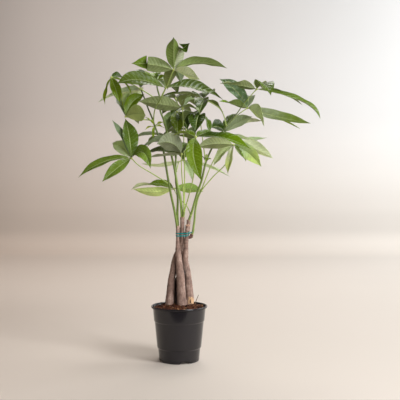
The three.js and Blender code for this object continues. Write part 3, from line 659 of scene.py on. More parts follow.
def cut_finish(settings):
    """A cut face: tan wood in faint rings, with a salmon rind."""
    finish = Finish("cut_wood")
    reach = finish.parts(finish.mark("place"))[0]
    place = finish.place()
    cloud = finish.noise(place, 500.0, 4.0, 0.6)
    rings = ((reach * 14.0 + cloud * 2.0).math("FRACT") - 0.5).math("ABSOLUTE")
    rind = finish.smooth(reach + 0.25 * cloud, 0.72, 0.95)
    colour = finish.mix(rind, settings.cut_wood, settings.cut_rind)
    colour = finish.scaled(colour, 0.7 + 0.35 * cloud + 0.35 * rings)
    normal = finish.bump(cloud + rings, 0.0004)
    rough = 0.7 + 0.2 * cloud
    return finish.done(finish.surface(colour, rough, normal))


def tie_finish(settings):
    """Coated wire tape: smooth teal plastic, a little crumpled, with darker stretches at random."""
    finish = Finish("tie_tape")
    place = finish.place()
    crumple = finish.noise(place, 320.0, 3.0)
    darker_stretch = finish.noise(place, 90.0, 3.0)
    colour = finish.mix(finish.smooth(darker_stretch, 0.35, 0.7), settings.tape_dark, settings.tape)
    colour = finish.scaled(colour, 0.8 + 0.4 * crumple)
    normal = finish.bump(crumple, 0.0005)
    rough = 0.34 + 0.16 * (crumple - 0.5)
    return finish.done(finish.surface(colour, rough, normal))


def twig_finish():
    """A dry twig: grey brown, furrowed lengthwise."""
    finish = Finish("dry_twig")
    place = finish.place()
    grain = finish.noise(finish.stretched(place, (900.0, 900.0, 120.0)), 1.0, 4.0, 0.7)
    colour = finish.ramp(grain, [(0.3, (0.06, 0.035, 0.022)), (0.7, (0.26, 0.18, 0.12))])
    normal = finish.bump(grain, 0.0004)
    rough = 0.8 + 0.1 * grain
    return finish.done(finish.surface(colour, rough, normal))


def paper_finish(settings):
    """The studio's floor and wall: pale and matt, with painted bands of light and shade."""
    finish = Finish("studio_paper")
    place = finish.place()
    cloud = finish.noise(place, 0.8, 3.0)
    across, deep, height = finish.parts(place)
    colour = finish.mix(finish.smooth(height, 0.0, 1.4), settings.floor, settings.wall)
    # Painted light in a band up the wall, painted shade in a band at the bend, and painted light on the
    # floor just before the wall
    bright = finish.band(height, *BRIGHT_BAND)
    bend = finish.band(height, *BEND_SHADE_BAND)
    back = finish.smooth(deep, *BACK_LIGHT_FROM) * finish.smooth(height, *BACK_LIGHT_BELOW)
    colour = finish.scaled(colour, 1 + 0.06 * bright - 0.05 * bend + 0.15 * back)
    # Painted shade: the paper is tinted and dimmed towards the left, and darker at its far left edge
    dimmed = finish.mix(1.0, colour, settings.shade, "MULTIPLY")
    colour = finish.mix(finish.smooth(across, -2.0, 2.0), dimmed, colour)
    colour = finish.scaled(colour, 0.8 + 0.2 * finish.smooth(across, -2.4, -1.4))
    colour = finish.scaled(colour, 0.97 + 0.06 * cloud)
    fine = finish.noise(place, 60.0, 3.0)
    rough = 0.85 + 0.1 * (fine - 0.5)
    return finish.done(finish.surface(colour, rough))


# Mesh building

class Skin:
    """Points and faces gathered for one mesh, with each point's tint, place and mark."""

    def __init__(self):
        self.points = []
        self.tints = []
        self.places = []
        self.marks = []
        self.faces = []
        self.slots = []

    def point(self, where, tint=(0, 0, 0, 0), place=(0, 0, 0), mark=(0, 0, 0)):
        self.points.append(where * MM)
        self.tints.append(tint)
        self.places.append(place)
        self.marks.append(mark)
        return len(self.points) - 1

    def face(self, *corners, slot=0):
        self.faces.append(corners)
        self.slots.append(slot)

    def strip(self, one, other, slot=0):
        """Quads between two closed loops of points."""
        count = len(one)
        for i in range(count):
            j = (i + 1) % count
            self.face(one[i], one[j], other[j], other[i], slot=slot)

    def made(self, name, materials):
        mesh = bpy.data.meshes.new(name)
        mesh.from_pydata(self.points, [], self.faces)
        kinds = [
            ("tint", "FLOAT_COLOR", "color", self.tints),
            ("place", "FLOAT_VECTOR", "vector", self.places),
            ("mark", "FLOAT_VECTOR", "vector", self.marks),
        ]
        for key, kind, field, rows in kinds:
            flat = [value for row in rows for value in row]
            mesh.attributes.new(key, kind, "POINT").data.foreach_set(field, flat)
        mesh.polygons.foreach_set("material_index", self.slots)
        for material in materials:
            mesh.materials.append(material)
        piece = bpy.data.objects.new(name, mesh)
        bpy.context.scene.collection.objects.link(piece)
        return piece


def select_only(piece):
    bpy.ops.object.select_all(action="DESELECT")
    piece.select_set(True)
    bpy.context.view_layer.objects.active = piece


def shaded(piece, degrees=35):
    select_only(piece)
    bpy.ops.object.shade_smooth_by_angle(angle=math.radians(degrees))
    return piece


def dress(piece, slot, *nodes):
    """Puts a finished piece on the frame, in place of the nodes it stands for."""
    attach(piece, "root")
    if nodes:
        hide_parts(*nodes)
    return piece


class Route:
    """A smooth way through points, as a centripetal Catmull-Rom curve."""

    def __init__(self, points):
        first = points[0] * 2 - points[1]
        last = points[-1] * 2 - points[-2]
        self.points = [first, *points, last]
        self.spans = len(points) - 1

    def at(self, share):
        """The point and the direction at a share of the way, counted in spans."""
        place = min(share, 1.0) * self.spans
        span = min(int(place), self.spans - 1)
        w = place - span
        p0, p1, p2, p3 = self.points[span:span + 4]
        d0, d1, d2 = [(b - a).length ** 0.5 for a, b in ((p0, p1), (p1, p2), (p2, p3))]
        start = ((p1 - p0) / d0 - (p2 - p0) / (d0 + d1) + (p2 - p1) / d1) * d1
        end = ((p2 - p1) / d1 - (p3 - p1) / (d1 + d2) + (p3 - p2) / d2) * d1
        c2 = -3 * p1 + 3 * p2 - 2 * start - end
        c3 = 2 * p1 - 2 * p2 + start + end
        point = p1 + start * w + c2 * w * w + c3 * w ** 3
        return point, (start + 2 * c2 * w + 3 * c3 * w * w).normalized()


def nodes_of(rows):
    return [(Vector(row[:3]), row[3]) for row in rows]


def plain(*_):
    """The look of a limb whose material asks for no tint and no mark."""
    return (0, 0, 0, 0), (0, 0, 0)


def limb(skin, nodes, sides, step, look=plain, relief=None, cap_slot=0):
    """A round limb through (point, radius) nodes. look gives a ring's tint and mark from its share
    of the way and its length so far; relief adds to the radius from that length, the turn and the
    place."""
    route = Route([point for point, _ in nodes])
    rings = []
    side = None
    length = 0.0
    before = None
    for span in range(route.spans):
        cuts = max(1, round((nodes[span + 1][0] - nodes[span][0]).length / step))
        last = 1 if span == route.spans - 1 else 0
        for cut in range(cuts + last):
            at = (span + cut / cuts) / route.spans
            middle, tangent = route.at(at)
            if before is not None:
                length += (middle - before).length
            before = middle
            start = side or (Vector((1, 0, 0)) if abs(tangent.x) < 0.8 else UP)
            side = (start - tangent * start.dot(tangent)).normalized()
            across = tangent.cross(side)
            radius = lerp(nodes[span][1], nodes[span + 1][1], cut / cuts)
            tint, mark = look(at, length)
            ring = []
            for i in range(sides):
                turn = 2 * math.pi * i / sides
                out = side * math.cos(turn) + across * math.sin(turn)
                reach = radius + (relief(length, turn, middle + out * radius) if relief else 0.0)
                place = (i / sides, length * MM, 0)
                ring.append(skin.point(middle + out * reach, tint, place, mark))
            rings.append((ring, middle, tangent, radius, tint, mark))
    for (one, *_), (other, *_) in zip(rings, rings[1:]):
        skin.strip(one, other)
    for (ring, middle, tangent, radius, tint, mark), way in ((rings[0], -1), (rings[-1], 1)):
        cap(skin, ring, middle, tangent * way, radius, tint, mark, cap_slot)


# A cap's rings, each as a share of the limb's radius and its rise in the same measure
CAP_RINGS = ((0.93, 0.07), (0.7, 0.09), (0.35, 0.07))
CAP_MIDDLE = 0.06


def cap(skin, ring, middle, out, radius, tint, mark, slot):
    """Closes a limb's end: a rounded shoulder, then an almost flat face."""
    loop = ring
    facing = (skin.points[ring[1]] - skin.points[ring[0]]).cross(
        skin.points[ring[2]] - skin.points[ring[1]]).dot(out) > 0
    for share, rise in CAP_RINGS:
        inner = [
            skin.point(middle + (skin.points[i] / MM - middle) * share + out * (rise * radius),
                       tint, (share, 0, 0), mark)
            for i in ring
        ]
        if facing:
            skin.strip(loop, inner, slot)
        else:
            skin.strip(loop[::-1], inner[::-1], slot)
        loop = inner
    centre = skin.point(middle + out * (CAP_MIDDLE * radius), tint, (0, 0, 0), mark)
    loop = loop if facing else loop[::-1]
    for i, corner in enumerate(loop):
        skin.face(corner, loop[(i + 1) % len(loop)], centre, slot=slot)


# Leaves

def blade_shape(s, bare):
    grown = max(0.0, (s - bare) / (1 - bare))
    drip = 1 - 0.4 * smooth(s, 0.84, 1.0)
    return max(0.0, math.sin(math.pi * grown)) ** 0.74 * (1 - 0.5 * s ** 6) * drip


def blade_at(hub, leaflet, s):
    """Where a leaflet's midrib is at share s of its length, its upward and its sideways way."""
    tip, arch, lead, sway, roll, twist, *curl = leaflet
    chord = tip - hub
    along = chord.normalized()
    lean = FRONT if abs(along.z) > 0.985 else UP
    rise = (lean - along * lean.dot(along)).normalized()
    bend = hub + chord * lead + rise * (2 * arch) + along.cross(rise) * (2 * sway)
    point = hub * (1 - s) ** 2 + bend * (2 * s * (1 - s)) + tip * (s * s)
    tangent = ((bend - hub) * (1 - s) + (tip - bend) * s).normalized()
    normal = (rise - tangent * rise.dot(tangent)).normalized()
    turn = roll + twist * (s - 0.5)
    for angle, start, end, _ in curl:
        turn += angle * smooth(s, start, end)
    normal = Quaternion(tangent, math.radians(turn)) @ normal
    return point, normal, tangent.cross(normal)


# Materials of a shoot: its stems first, then green and dull leaflets
GREEN_SLOT = 1
DULL_SLOT = 2

# Across a leaflet, from edge to edge over the midrib; and along it, how the rows draw together,
# how many more a curl has, where the midrib is measured from, and the waves of an edge
COLUMNS = (-1, -0.94, -0.82, -0.65, -0.45, -0.25, -0.07, 0, 0.07, 0.25, 0.45, 0.65, 0.82, 0.94, 1)
MIDRIB_HALF = 0.1
LEAD = 0.45
ROW_DRAW = 0.94
CURL_ROWS = 7
PROBE = 0.01
WAVE_RATE = 9
RIPPLE_RATE = 24
EDGE_PHASE = 2.4
YOUNG_ROWS = 12


def tones_of(names):
    """The near and far colour of each side, the upper first, then roughness, glow and painted glare."""
    upper, lower, gloss, glow, painted_glare = TONES[names[0]]
    if len(names) > 1:
        lower = TONES[names[1]][1]
    outer = TONES[names[2]] if len(names) > 2 else (upper, lower)
    return {1: (upper, outer[0]), -1: (lower, outer[1])}, gloss, glow, painted_glare


def close_blade(skin, top, under, slot):
    """Faces between a leaflet's rows, along its edges, at its foot and round its tip."""
    last = len(COLUMNS) - 1
    for a, b, c, d in zip(top, top[1:-1], under, under[1:-1]):
        for j in range(last):
            skin.face(a[j], b[j], b[j + 1], a[j + 1], slot=slot)
            skin.face(c[j], c[j + 1], d[j + 1], d[j], slot=slot)
        skin.face(a[0], c[0], d[0], b[0], slot=slot)
        skin.face(a[last], b[last], d[last], c[last], slot=slot)
    a, c, end, foot = top[-2], under[-2], top[-1][0], under[-1][0]
    for j in range(last):
        skin.face(a[j], end, a[j + 1], slot=slot)
        skin.face(c[j], c[j + 1], foot, slot=slot)
    skin.face(a[0], c[0], foot, end, slot=slot)
    skin.face(a[last], end, foot, c[last], slot=slot)
    for j in range(last):
        skin.face(top[0][j], top[0][j + 1], under[0][j + 1], under[0][j], slot=slot)


def blade(skin, settings, hub, row, phase, rows, rng):
    """One leaflet: rows of points across its upper side and its under side, closed at the edges."""
    tip, width, bend, roll, twist, tone, *curl = row
    arch, lead, sway = bend if isinstance(bend, tuple) else (bend, LEAD, 0)
    leaflet = (seen(tip), arch, lead, sway, roll, twist, *curl)
    names = tone.split()
    sides, gloss, glow, painted_glare = tones_of(names)
    slot = DULL_SLOT if names[0] in DULL else GREEN_SLOT
    light = rng.uniform(0.88, 1.14)
    warm = rng.uniform(0.92, 1.1)
    first = PROBE * settings.root / (blade_at(hub, leaflet, PROBE)[0] - hub).length
    stations = [lerp(first, 1.0, (i / rows) ** ROW_DRAW) for i in range(rows + 1)]
    for _, start, end, _ in curl:
        extra = [lerp(start, end, i / CURL_ROWS) for i in range(CURL_ROWS + 1)]
        stations = sorted(stations + extra)
    fold = math.radians(settings.fold)
    grids = {1: [], -1: []}
    ripple = rng.uniform(0.3, 0.9)
    for s in stations[:-1]:
        point, normal, side = blade_at(hub, leaflet, s)
        shape = blade_shape(s, settings.bare)
        for _, start, end, swell in curl:
            shape *= lerp(1, swell, smooth(s, start, end))
        half = max(settings.neck, width / 2 * shape)
        thick = lerp(1.5, settings.thickness, smooth(s, 0.01, 0.09))
        fade = 0.35 + 0.65 * smooth(s, 0.0, 0.2)
        for face in (1, -1):
            line = []
            for t in COLUMNS:
                wide = abs(t)
                wave = settings.wave * wide * math.sin(WAVE_RATE * s + phase + t) * shape
                swing = math.sin(RIPPLE_RATE * s + 1.7 * phase + 2 * t)
                wave += ripple * wide * wide * swing * shape
                lift = half * math.sin(fold) * wide * (1.5 - 0.5 * wide)
                rib = 0.0
                if wide < MIDRIB_HALF:
                    core = 1.0 if wide == 0 else 0.25
                    depth = 0.25 if face > 0 else 0.85 * (1 - 0.75 * s)
                    rib = core * depth * smooth(shape, 0.05, 0.3)
                edge = thick * (0.5 if wide < 1 else 0.35)
                where = point + side * (t * half * math.cos(fold))
                where = where + normal * (lift + wave + face * edge - rib)
                young = 0.22 * (1 - smooth(s, 0.0, 0.22))
                shade = light * (1 - 0.1 * s) / (1 - glow * fade)
                tint = [c * shade for c in between(*sides[face], smooth(s, 0.3, 0.75))]
                tint[0] *= warm
                tint = between(tint, settings.midrib, young)
                place = (t, s, 0 if face > 0 else 1)
                line.append(skin.point(where, (*tint, 1), place, (gloss, glow * fade, painted_glare)))
            grids[face].append(line)
    point, normal, _ = blade_at(hub, leaflet, 1.0)
    for face in (1, -1):
        tint = tuple(c * light * 0.9 / (1 - glow) for c in sides[face][1])
        where = point + normal * (face * 0.15)
        place = (0, 1, 0 if face > 0 else 1)
        grids[face].append([skin.point(where, (*tint, 1), place, (gloss, glow, painted_glare))])
    close_blade(skin, grids[1], grids[-1], slot)


HUB_ROWS = 6
HUB_SIDES = 10
HUB_RADIUS = 3.3
YOUNG_HUB_RADIUS = 2.4


def hub_knob(skin, settings, centre, radius):
    """The swelling at a stalk's end that the leaflets spread from."""
    rings = []
    tint = (*settings.knob, 1)
    for row in range(1, HUB_ROWS):
        polar = math.pi * row / HUB_ROWS
        ring = []
        for i in range(HUB_SIDES):
            turn = 2 * math.pi * i / HUB_SIDES
            flat = math.sin(polar)
            out = Vector((flat * math.cos(turn), flat * math.sin(turn), math.cos(polar)))
            ring.append(skin.point(centre + out * radius, tint))
        rings.append(ring)
    for one, other in zip(rings, rings[1:]):
        skin.strip(other, one)
    top = skin.point(centre + UP * radius, tint)
    bottom = skin.point(centre - UP * radius, tint)
    for i in range(HUB_SIDES):
        j = (i + 1) % HUB_SIDES
        skin.face(rings[0][i], rings[0][j], top)
        skin.face(rings[-1][j], rings[-1][i], bottom)


# Lengths along a stem or a stalk, in millimetres: a stalk's taper and its swollen ends, and a
# stem's paler foot, its swollen foot and the gap between its scars
STALK_TAPER = 0.35
STALK_SWELL = 9
STEM_FOOT = 26
STEM_SWELL = 14
SCAR_GAP = 37
GREEN_MARK = (0.4, 0, 0)


def stalk(skin, settings, points, shade):
    """A leaf stalk: slim, a little swollen at both ends."""
    last = len(points) - 1
    nodes = [(p, settings.stalk - STALK_TAPER * i / last) for i, p in enumerate(points)]

    def look(share, _):
        tint = between(settings.stalk_low, settings.stalk_high, share)
        # Painted shade: the stalk is darker towards its foot
        light = lerp(shade, 1, smooth(share, 0.5, 1))
        return (*(c * light for c in tint), 1), GREEN_MARK

    total = sum((b - a).length for a, b in zip(points, points[1:]))

    def swell(length, *_):
        foot = 1 - smooth(length, 0, STALK_SWELL)
        head = smooth(length, total - STALK_SWELL, total)
        return 0.9 * foot + 0.75 * head - 0.15

    limb(skin, nodes, 10, 5, look, swell)


def stem(skin, settings, points, base, top, shade):
    """A green stem: swollen at its foot and ringed with faint scars."""
    nodes = [(p, lerp(base, top, i / (len(points) - 1))) for i, p in enumerate(points)]

    def look(share, length):
        low = between(settings.stem_foot, settings.stem_low, smooth(length, 0, STEM_FOOT))
        tint = between(low, settings.stem_high, share)
        # Painted shade: a stem's tint is scaled from its foot to its top
        light = lerp(shade[0], shade[1], share)
        return (*(c * light for c in tint), 1), GREEN_MARK

    def relief(length, turn, where):
        swelling = 0.9 * (1 - smooth(length, 0, STEM_SWELL))
        scars = 0.3 * math.exp(-((length % SCAR_GAP - SCAR_GAP // 2) / 1.6) ** 2)
        return swelling + scars + 0.12 * noise.noise(where * 0.2)

    limb(skin, nodes, 14, 3, look, relief)


def shoot(name, settings, materials):
    """One leafy shoot: its stems, leaf stalks and leaflets, in one piece."""
    skin = Skin()
    rng = random.Random(name)
    for points, base, top, shade in SHOOTS[name]["stems"]:
        stem(skin, settings, [seen(p) for p in points], base, top, shade)
    for leaf in SHOOTS[name]["leaves"]:
        hub = seen(leaf.hub)
        hub_knob(skin, settings, hub, YOUNG_HUB_RADIUS if leaf.young else HUB_RADIUS)
        if leaf.stalk:
            stalk(skin, settings, [*(seen(p) for p in leaf.stalk), hub], leaf.shade)
        for i, row in enumerate(leaf.leaflets):
            rows = YOUNG_ROWS if leaf.young else settings.rows
            blade(skin, settings, hub, row, EDGE_PHASE * i, rows, rng)
    piece = skin.made("foliage_" + name, materials)
    return dress(shaded(piece, 40), "leaf", "shoot_" + name)


# Trunks

BARK_SLOT = 0
CUT_SLOT = 1
FIRST_SCAR = 6.0
LAST_SCAR = 290
BUDS = 9


def trunk_relief(rng):
    """Long swellings, leaf scars across, and a few small buds."""
    scars = []
    length = FIRST_SCAR
    while length < LAST_SCAR:
        scars.append((length, rng.uniform(0.15, 0.5), rng.uniform(-0.6, 0.6)))
        length += rng.uniform(6, 15)
    buds = []
    for _ in range(BUDS):
        buds.append((rng.uniform(20, 235), rng.uniform(0, 2 * math.pi), rng.uniform(0.5, 1.1)))

    def relief(length, turn, where):
        out = 0.75 * noise.noise(where * 0.045) + 0.4 * noise.noise(where * 0.15)
        out += 0.14 * noise.noise(Vector((where.x * 0.9, where.y * 0.9, where.z * 0.25)))
        for at, rise, tilt in scars:
            gap = (length - at - tilt * math.cos(turn)) / 0.8
            if abs(gap) < 3:
                out += rise * math.exp(-gap * gap) - 0.6 * rise * math.exp(-(gap - 1.6) ** 2)
        for at, way, rise in buds:
            gap = abs(length - at)
            if gap < 6:
                swing = math.remainder(turn - way, 2 * math.pi) * 9
                out += rise * math.exp(-(gap / 1.8) ** 2 - (swing / 2.4) ** 2)
        return out

    return relief


# Places on the bark, in millimetres: the peeled patch on the right trunk as left, right, low and
# high, how far back it reaches, the teeth of its top edge and the slit in it; the nub on the back
# trunk as left, low and high, and the dark rings under the tie there
PATCH = (22.5, 39.5, 146.5, 168)
PATCH_BACK = 26
TOOTH_FROM = 26
TOOTH_RATE = 0.4
TOOTH_DEPTH = 6
SLIT = (29.8, 154)
NUB = (24.5, 314, 342)
RINGS = (296, 310, 318)
RING_HALF = 0.8
# How far from the trunks' middle, and how high, the painted shade between them fades
GAP_SHADE_OUT = (11, 20)
GAP_SHADE_UP = (245, 285)
# Paint over the bark, as a colour and how much it covers
FRESH_WOOD = (0.62, 0.38, 0.21)
SLIT_PAINT = (0.04, 0.02, 0.015, 1)
NUB_PAINT = (0.085, 0.026, 0.019, 0.9)
RING_PAINT = (0.045, 0.026, 0.022, 0.7)
# Painted shade: near black on the bark in the narrow gap between the trunks
GAP_SHADE_PAINT = (0.012, 0.007, 0.006, 0.94)


def trunk_at(name, height):
    """A trunk's middle, height and radius where it passes a height."""
    rows = TRUNKS[name]
    for low, high in zip(rows, rows[1:]):
        if high[2] >= height:
            return between(low, high, (height - low[2]) / (high[2] - low[2]))
    return rows[-1]


def peeled(where):
    """The paint of the ragged patch of fresh wood, or None outside it."""
    x, y, z = where
    left, right, low, high = PATCH
    edge = 3.4 * noise.noise(where * 0.3) + 2.2 * noise.noise(where * 0.8)
    teeth = TOOTH_DEPTH * abs(math.sin((x - TOOTH_FROM) * TOOTH_RATE))
    inside = min(x - left, right - x, z - low, high - z - teeth) + edge
    if inside <= 0:
        return None
    if math.hypot((x - SLIT[0]) / 0.8, (z - SLIT[1]) / 2.6) < 2.1 + edge * 0.3:
        return SLIT_PAINT
    streak = noise.noise(Vector((x, y, z * 0.2)) * 0.9)
    grain = 0.75 + 0.3 * smooth(x, 24, 36) + 0.35 * streak
    return (*(c * grain for c in FRESH_WOOD), smooth(inside, 0, 1.5))


def trunk_paint(name, where):
    """The paint at a place on a trunk: the peeled patch, the reddish nub, the dark rings, or the
    painted shade in the gap between the trunks."""
    x, y, z = where
    if name == "right" and y < PATCH_BACK:
        fresh = peeled(where)
        if fresh:
            return fresh
    if name == "back" and x > NUB[0] and NUB[1] < z < NUB[2]:
        return NUB_PAINT
    if name == "back" and min(abs(z - ring) for ring in RINGS) < RING_HALF:
        return RING_PAINT
    rows = [trunk_at(key, z) for key in TRUNKS]
    middle = sum((Vector(row[:2]) for row in rows), Vector((0, 0))) / len(rows)
    reach = (Vector((x, y)) - middle).length
    # Painted shade, fading away from the trunks' middle and higher up
    gap_shade = (1 - smooth(reach, *GAP_SHADE_OUT)) * (1 - smooth(z, *GAP_SHADE_UP))
    return (*GAP_SHADE_PAINT[:3], GAP_SHADE_PAINT[3] * gap_shade)


def trunk(name, materials):
    """One trunk, with its cut top; the back one has its stubs too, all cut but the second."""
    skin = Skin()
    rng = random.Random("trunk " + name)
    limb(skin, nodes_of(TRUNKS[name]), 44, 1.3, plain, trunk_relief(rng), CUT_SLOT)
    if name == "back":
        for rows, end in zip(STUBS, (CUT_SLOT, BARK_SLOT, CUT_SLOT)):
            limb(skin, nodes_of(rows), 28, 1.0, plain, None, end)
    skin.tints = [trunk_paint(name, point / MM) for point in skin.points]
    piece = skin.made("bark_" + name, materials)
    return dress(shaded(piece, 50), "bark", "trunk_" + name)


# Round bodies, made as by hand from a circle

def turn_body(name, rings, sides):
    """A closed round body: a circle, each ring of it extruded, scaled and lifted, ends filled."""
    radius, height = rings[0]
    bpy.ops.object.select_all(action="DESELECT")
    bpy.ops.mesh.primitive_circle_add(
        vertices=sides, radius=radius * MM, location=(0, 0, height * MM))
    piece = bpy.context.object
    piece.name = name
    bpy.ops.object.mode_set(mode="EDIT")
    bpy.ops.mesh.select_all(action="SELECT")
    bpy.ops.mesh.edge_face_add()
    bpy.ops.mesh.select_mode(type="FACE")
    for (r0, z0), (r1, z1) in zip(rings, rings[1:]):
        move = {"value": (0, 0, (z1 - z0) * MM)}
        bpy.ops.mesh.extrude_region_move(TRANSFORM_OT_translate=move)
        bpy.ops.transform.resize(value=(r1 / r0, r1 / r0, 1), center_override=(0, 0, z1 * MM))
    bpy.ops.mesh.select_all(action="SELECT")
    bpy.ops.mesh.normals_make_consistent(inside=False)
    bpy.ops.object.mode_set(mode="OBJECT")
    bpy.ops.object.transform_apply(location=True, rotation=True, scale=True)
    return piece


def fillet(points, radius, steps=2):
    """The outline with each corner between its ends rounded."""
    out = [points[0]]
    for before, here, after in zip(points, points[1:], points[2:]):
        a, b, c = Vector(before), Vector(here), Vector(after)
        reach = min(radius, 0.45 * (a - b).length, 0.45 * (c - b).length)
        start = b + (a - b).normalized() * reach
        end = b + (c - b).normalized() * reach
        for i in range(steps + 1):
            share = i / steps
            bend = b * (2 * share * (1 - share))
            out.append(tuple(start * (1 - share) ** 2 + bend + end * share ** 2))
    out.append(points[-1])
    return out


# Settings, kept on the scene

class PotSettings(bpy.types.PropertyGroup):
    sides: bpy.props.IntProperty(name="Sides", description="Faces round the pot", default=144)
    wall: bpy.props.FloatProperty(name="Wall", description="Wall thickness in millimetres", default=1.3)
    notch_width: bpy.props.FloatProperty(
        name="Notch width", description="Width of a foot notch in millimetres", default=29)
    notch_height: bpy.props.FloatProperty(
        name="Notch height", description="Height of a foot notch in millimetres", default=7.2)
    roughness: bpy.props.FloatProperty(
        name="Roughness", description="Roughness of the plastic", default=0.13, subtype="FACTOR")
    plastic: bpy.props.FloatVectorProperty(
        name="Plastic", description="Colour of the plastic", default=(0.0062, 0.0050, 0.0076),
        subtype="COLOR")
    dust: bpy.props.FloatVectorProperty(
        name="Dust", description="Colour of dust on the plastic", default=(0.030, 0.026, 0.023),
        subtype="COLOR")


class MixSettings(bpy.types.PropertyGroup):
    chips: bpy.props.IntProperty(name="Chips", description="Bark chips on the mix", default=620)
    fibres: bpy.props.IntProperty(name="Fibres", description="Coir fibres on the mix", default=150)
    mix_dark: bpy.props.FloatVectorProperty(
        name="Dark", description="Darkest tone of the mix", default=(0.012, 0.006, 0.004),
        subtype="COLOR")
    mix_brown: bpy.props.FloatVectorProperty(
        name="Brown", description="Main tone of the mix", default=(0.064, 0.013, 0.004),
        subtype="COLOR")
    mix_tan: bpy.props.FloatVectorProperty(
        name="Tan", description="Lightest tone of the mix", default=(0.19, 0.070, 0.030),
        subtype="COLOR")


class BarkSettings(bpy.types.PropertyGroup):
    bark_dark: bpy.props.FloatVectorProperty(
        name="Dark bark", description="Darkest bark", default=(0.100, 0.056, 0.044), subtype="COLOR")
    bark_mid: bpy.props.FloatVectorProperty(
        name="Bark", description="Main bark tone", default=(0.295, 0.186, 0.147), subtype="COLOR")
    bark_light: bpy.props.FloatVectorProperty(
        name="Light bark", description="Lightest bark", default=(0.540, 0.380, 0.312), subtype="COLOR")
    bark_pale: bpy.props.FloatVectorProperty(
        name="Lenticels", description="Colour of the lenticels", default=(0.520, 0.390, 0.310),
        subtype="COLOR")
    cut_wood: bpy.props.FloatVectorProperty(
        name="Cut wood", description="Cut face", default=(0.50, 0.32, 0.21), subtype="COLOR")
    cut_rind: bpy.props.FloatVectorProperty(
        name="Cut rind", description="Rim of a cut face", default=(0.62, 0.27, 0.20), subtype="COLOR")


class LeafSettings(bpy.types.PropertyGroup):
    rows: bpy.props.IntProperty(name="Rows", description="Rows along a leaflet", default=34)
    thickness: bpy.props.FloatProperty(
        name="Thickness", description="Blade thickness in millimetres", default=0.5)
    fold: bpy.props.FloatProperty(
        name="Fold", description="Rise of each half from the midrib, in degrees", default=23)
    wave: bpy.props.FloatProperty(
        name="Wave", description="Height of the wave along an edge, in millimetres", default=2.4)
    bare: bpy.props.FloatProperty(
        name="Bare stalk", description="Share of a leaflet's length that is bare", default=0.04)
    neck: bpy.props.FloatProperty(
        name="Neck", description="Half the width of a leaflet's own stalk, in millimetres", default=0.8)
    root: bpy.props.FloatProperty(
        name="Root", description="Where a leaflet starts inside its hub, in millimetres", default=1.6)
    stalk: bpy.props.FloatProperty(
        name="Stalk", description="Radius of a leaf stalk, in millimetres", default=1.7)
    veins: bpy.props.FloatProperty(name="Veins", description="Side veins in each half", default=12)
    vein_depth: bpy.props.FloatProperty(
        name="Vein depth", description="Relief between the veins, in millimetres", default=1.1)
    vein: bpy.props.FloatVectorProperty(
        name="Vein", description="Colour of the side veins", default=(0.33, 0.40, 0.15), subtype="COLOR")
    midrib: bpy.props.FloatVectorProperty(
        name="Midrib", description="Colour of the midrib", default=(0.42, 0.48, 0.20), subtype="COLOR")
    through: bpy.props.FloatVectorProperty(
        name="Through", description="Light that comes through a green blade",
        default=(0.70, 0.90, 0.07), subtype="COLOR")
    through_dull: bpy.props.FloatVectorProperty(
        name="Through dull", description="Light that comes through a dull or pale blade",
        default=(0.72, 0.84, 0.42), subtype="COLOR")
    # Painted glare: the colour of lighter patches that stand in for highlights on a blade
    painted_glare: bpy.props.FloatVectorProperty(
        name="Glare", description="Colour of the bloom on a blade", default=(0.50, 0.56, 0.44),
        subtype="COLOR")
    shine: bpy.props.FloatProperty(
        name="Shine", description="How strongly a blade mirrors", default=0.3, subtype="FACTOR")
    stem_foot: bpy.props.FloatVectorProperty(
        name="Stem foot", description="Stem where it leaves the wood", default=(0.25, 0.29, 0.07),
        subtype="COLOR")
    stem_low: bpy.props.FloatVectorProperty(
        name="Lower stem", description="Lower part of a stem", default=(0.30, 0.41, 0.09),
        subtype="COLOR")
    stem_high: bpy.props.FloatVectorProperty(
        name="Upper stem", description="Upper part of a stem", default=(0.25, 0.32, 0.08),
        subtype="COLOR")
    stalk_low: bpy.props.FloatVectorProperty(
        name="Stalk foot", description="Lower end of a leaf stalk", default=(0.36, 0.46, 0.11),
        subtype="COLOR")
    stalk_high: bpy.props.FloatVectorProperty(
        name="Stalk top", description="Upper end of a leaf stalk", default=(0.40, 0.49, 0.12),
        subtype="COLOR")
    knob: bpy.props.FloatVectorProperty(
        name="Hub", description="Swelling the leaflets spread from", default=(0.46, 0.52, 0.13),
        subtype="COLOR")


class TieSettings(bpy.types.PropertyGroup):
    width: bpy.props.FloatProperty(
        name="Width", description="Width of the tape, in millimetres", default=2.9)
    tape: bpy.props.FloatVectorProperty(
        name="Tape", description="Colour of the tape", default=(0.003, 0.27, 0.28), subtype="COLOR")
    tape_dark: bpy.props.FloatVectorProperty(
        name="Darker tape", description="Darker stretches of the tape", default=(0.002, 0.19, 0.18),
        subtype="COLOR")


class StudioSettings(bpy.types.PropertyGroup):
    lens: bpy.props.FloatProperty(name="Lens", description="Focal length in millimetres", default=59.4)
    floor: bpy.props.FloatVectorProperty(
        name="Floor", description="Colour of the floor", default=(0.706, 0.648, 0.592), subtype="COLOR")
    wall: bpy.props.FloatVectorProperty(
        name="Wall", description="Colour of the wall", default=(0.755, 0.743, 0.738), subtype="COLOR")
    shade: bpy.props.FloatVectorProperty(
        name="Shaded paper", description="Tint of the paper away from the window",
        default=(1.0, 0.90, 0.84), subtype="COLOR")
    light: bpy.props.FloatProperty(name="Lamps", description="Share of each lamp's power", default=1)
    room: bpy.props.FloatProperty(
        name="Room light", description="Strength of the even light", default=0.14)
    room_tint: bpy.props.FloatVectorProperty(
        name="Room tint", description="Colour of the even light", default=(1.0, 0.88, 0.76),
        subtype="COLOR")


GROUPS = {
    "moneytree_pot": PotSettings,
    "moneytree_mix": MixSettings,
    "moneytree_bark": BarkSettings,
    "moneytree_leaf": LeafSettings,
    "moneytree_tie": TieSettings,
    "moneytree_studio": StudioSettings,
}


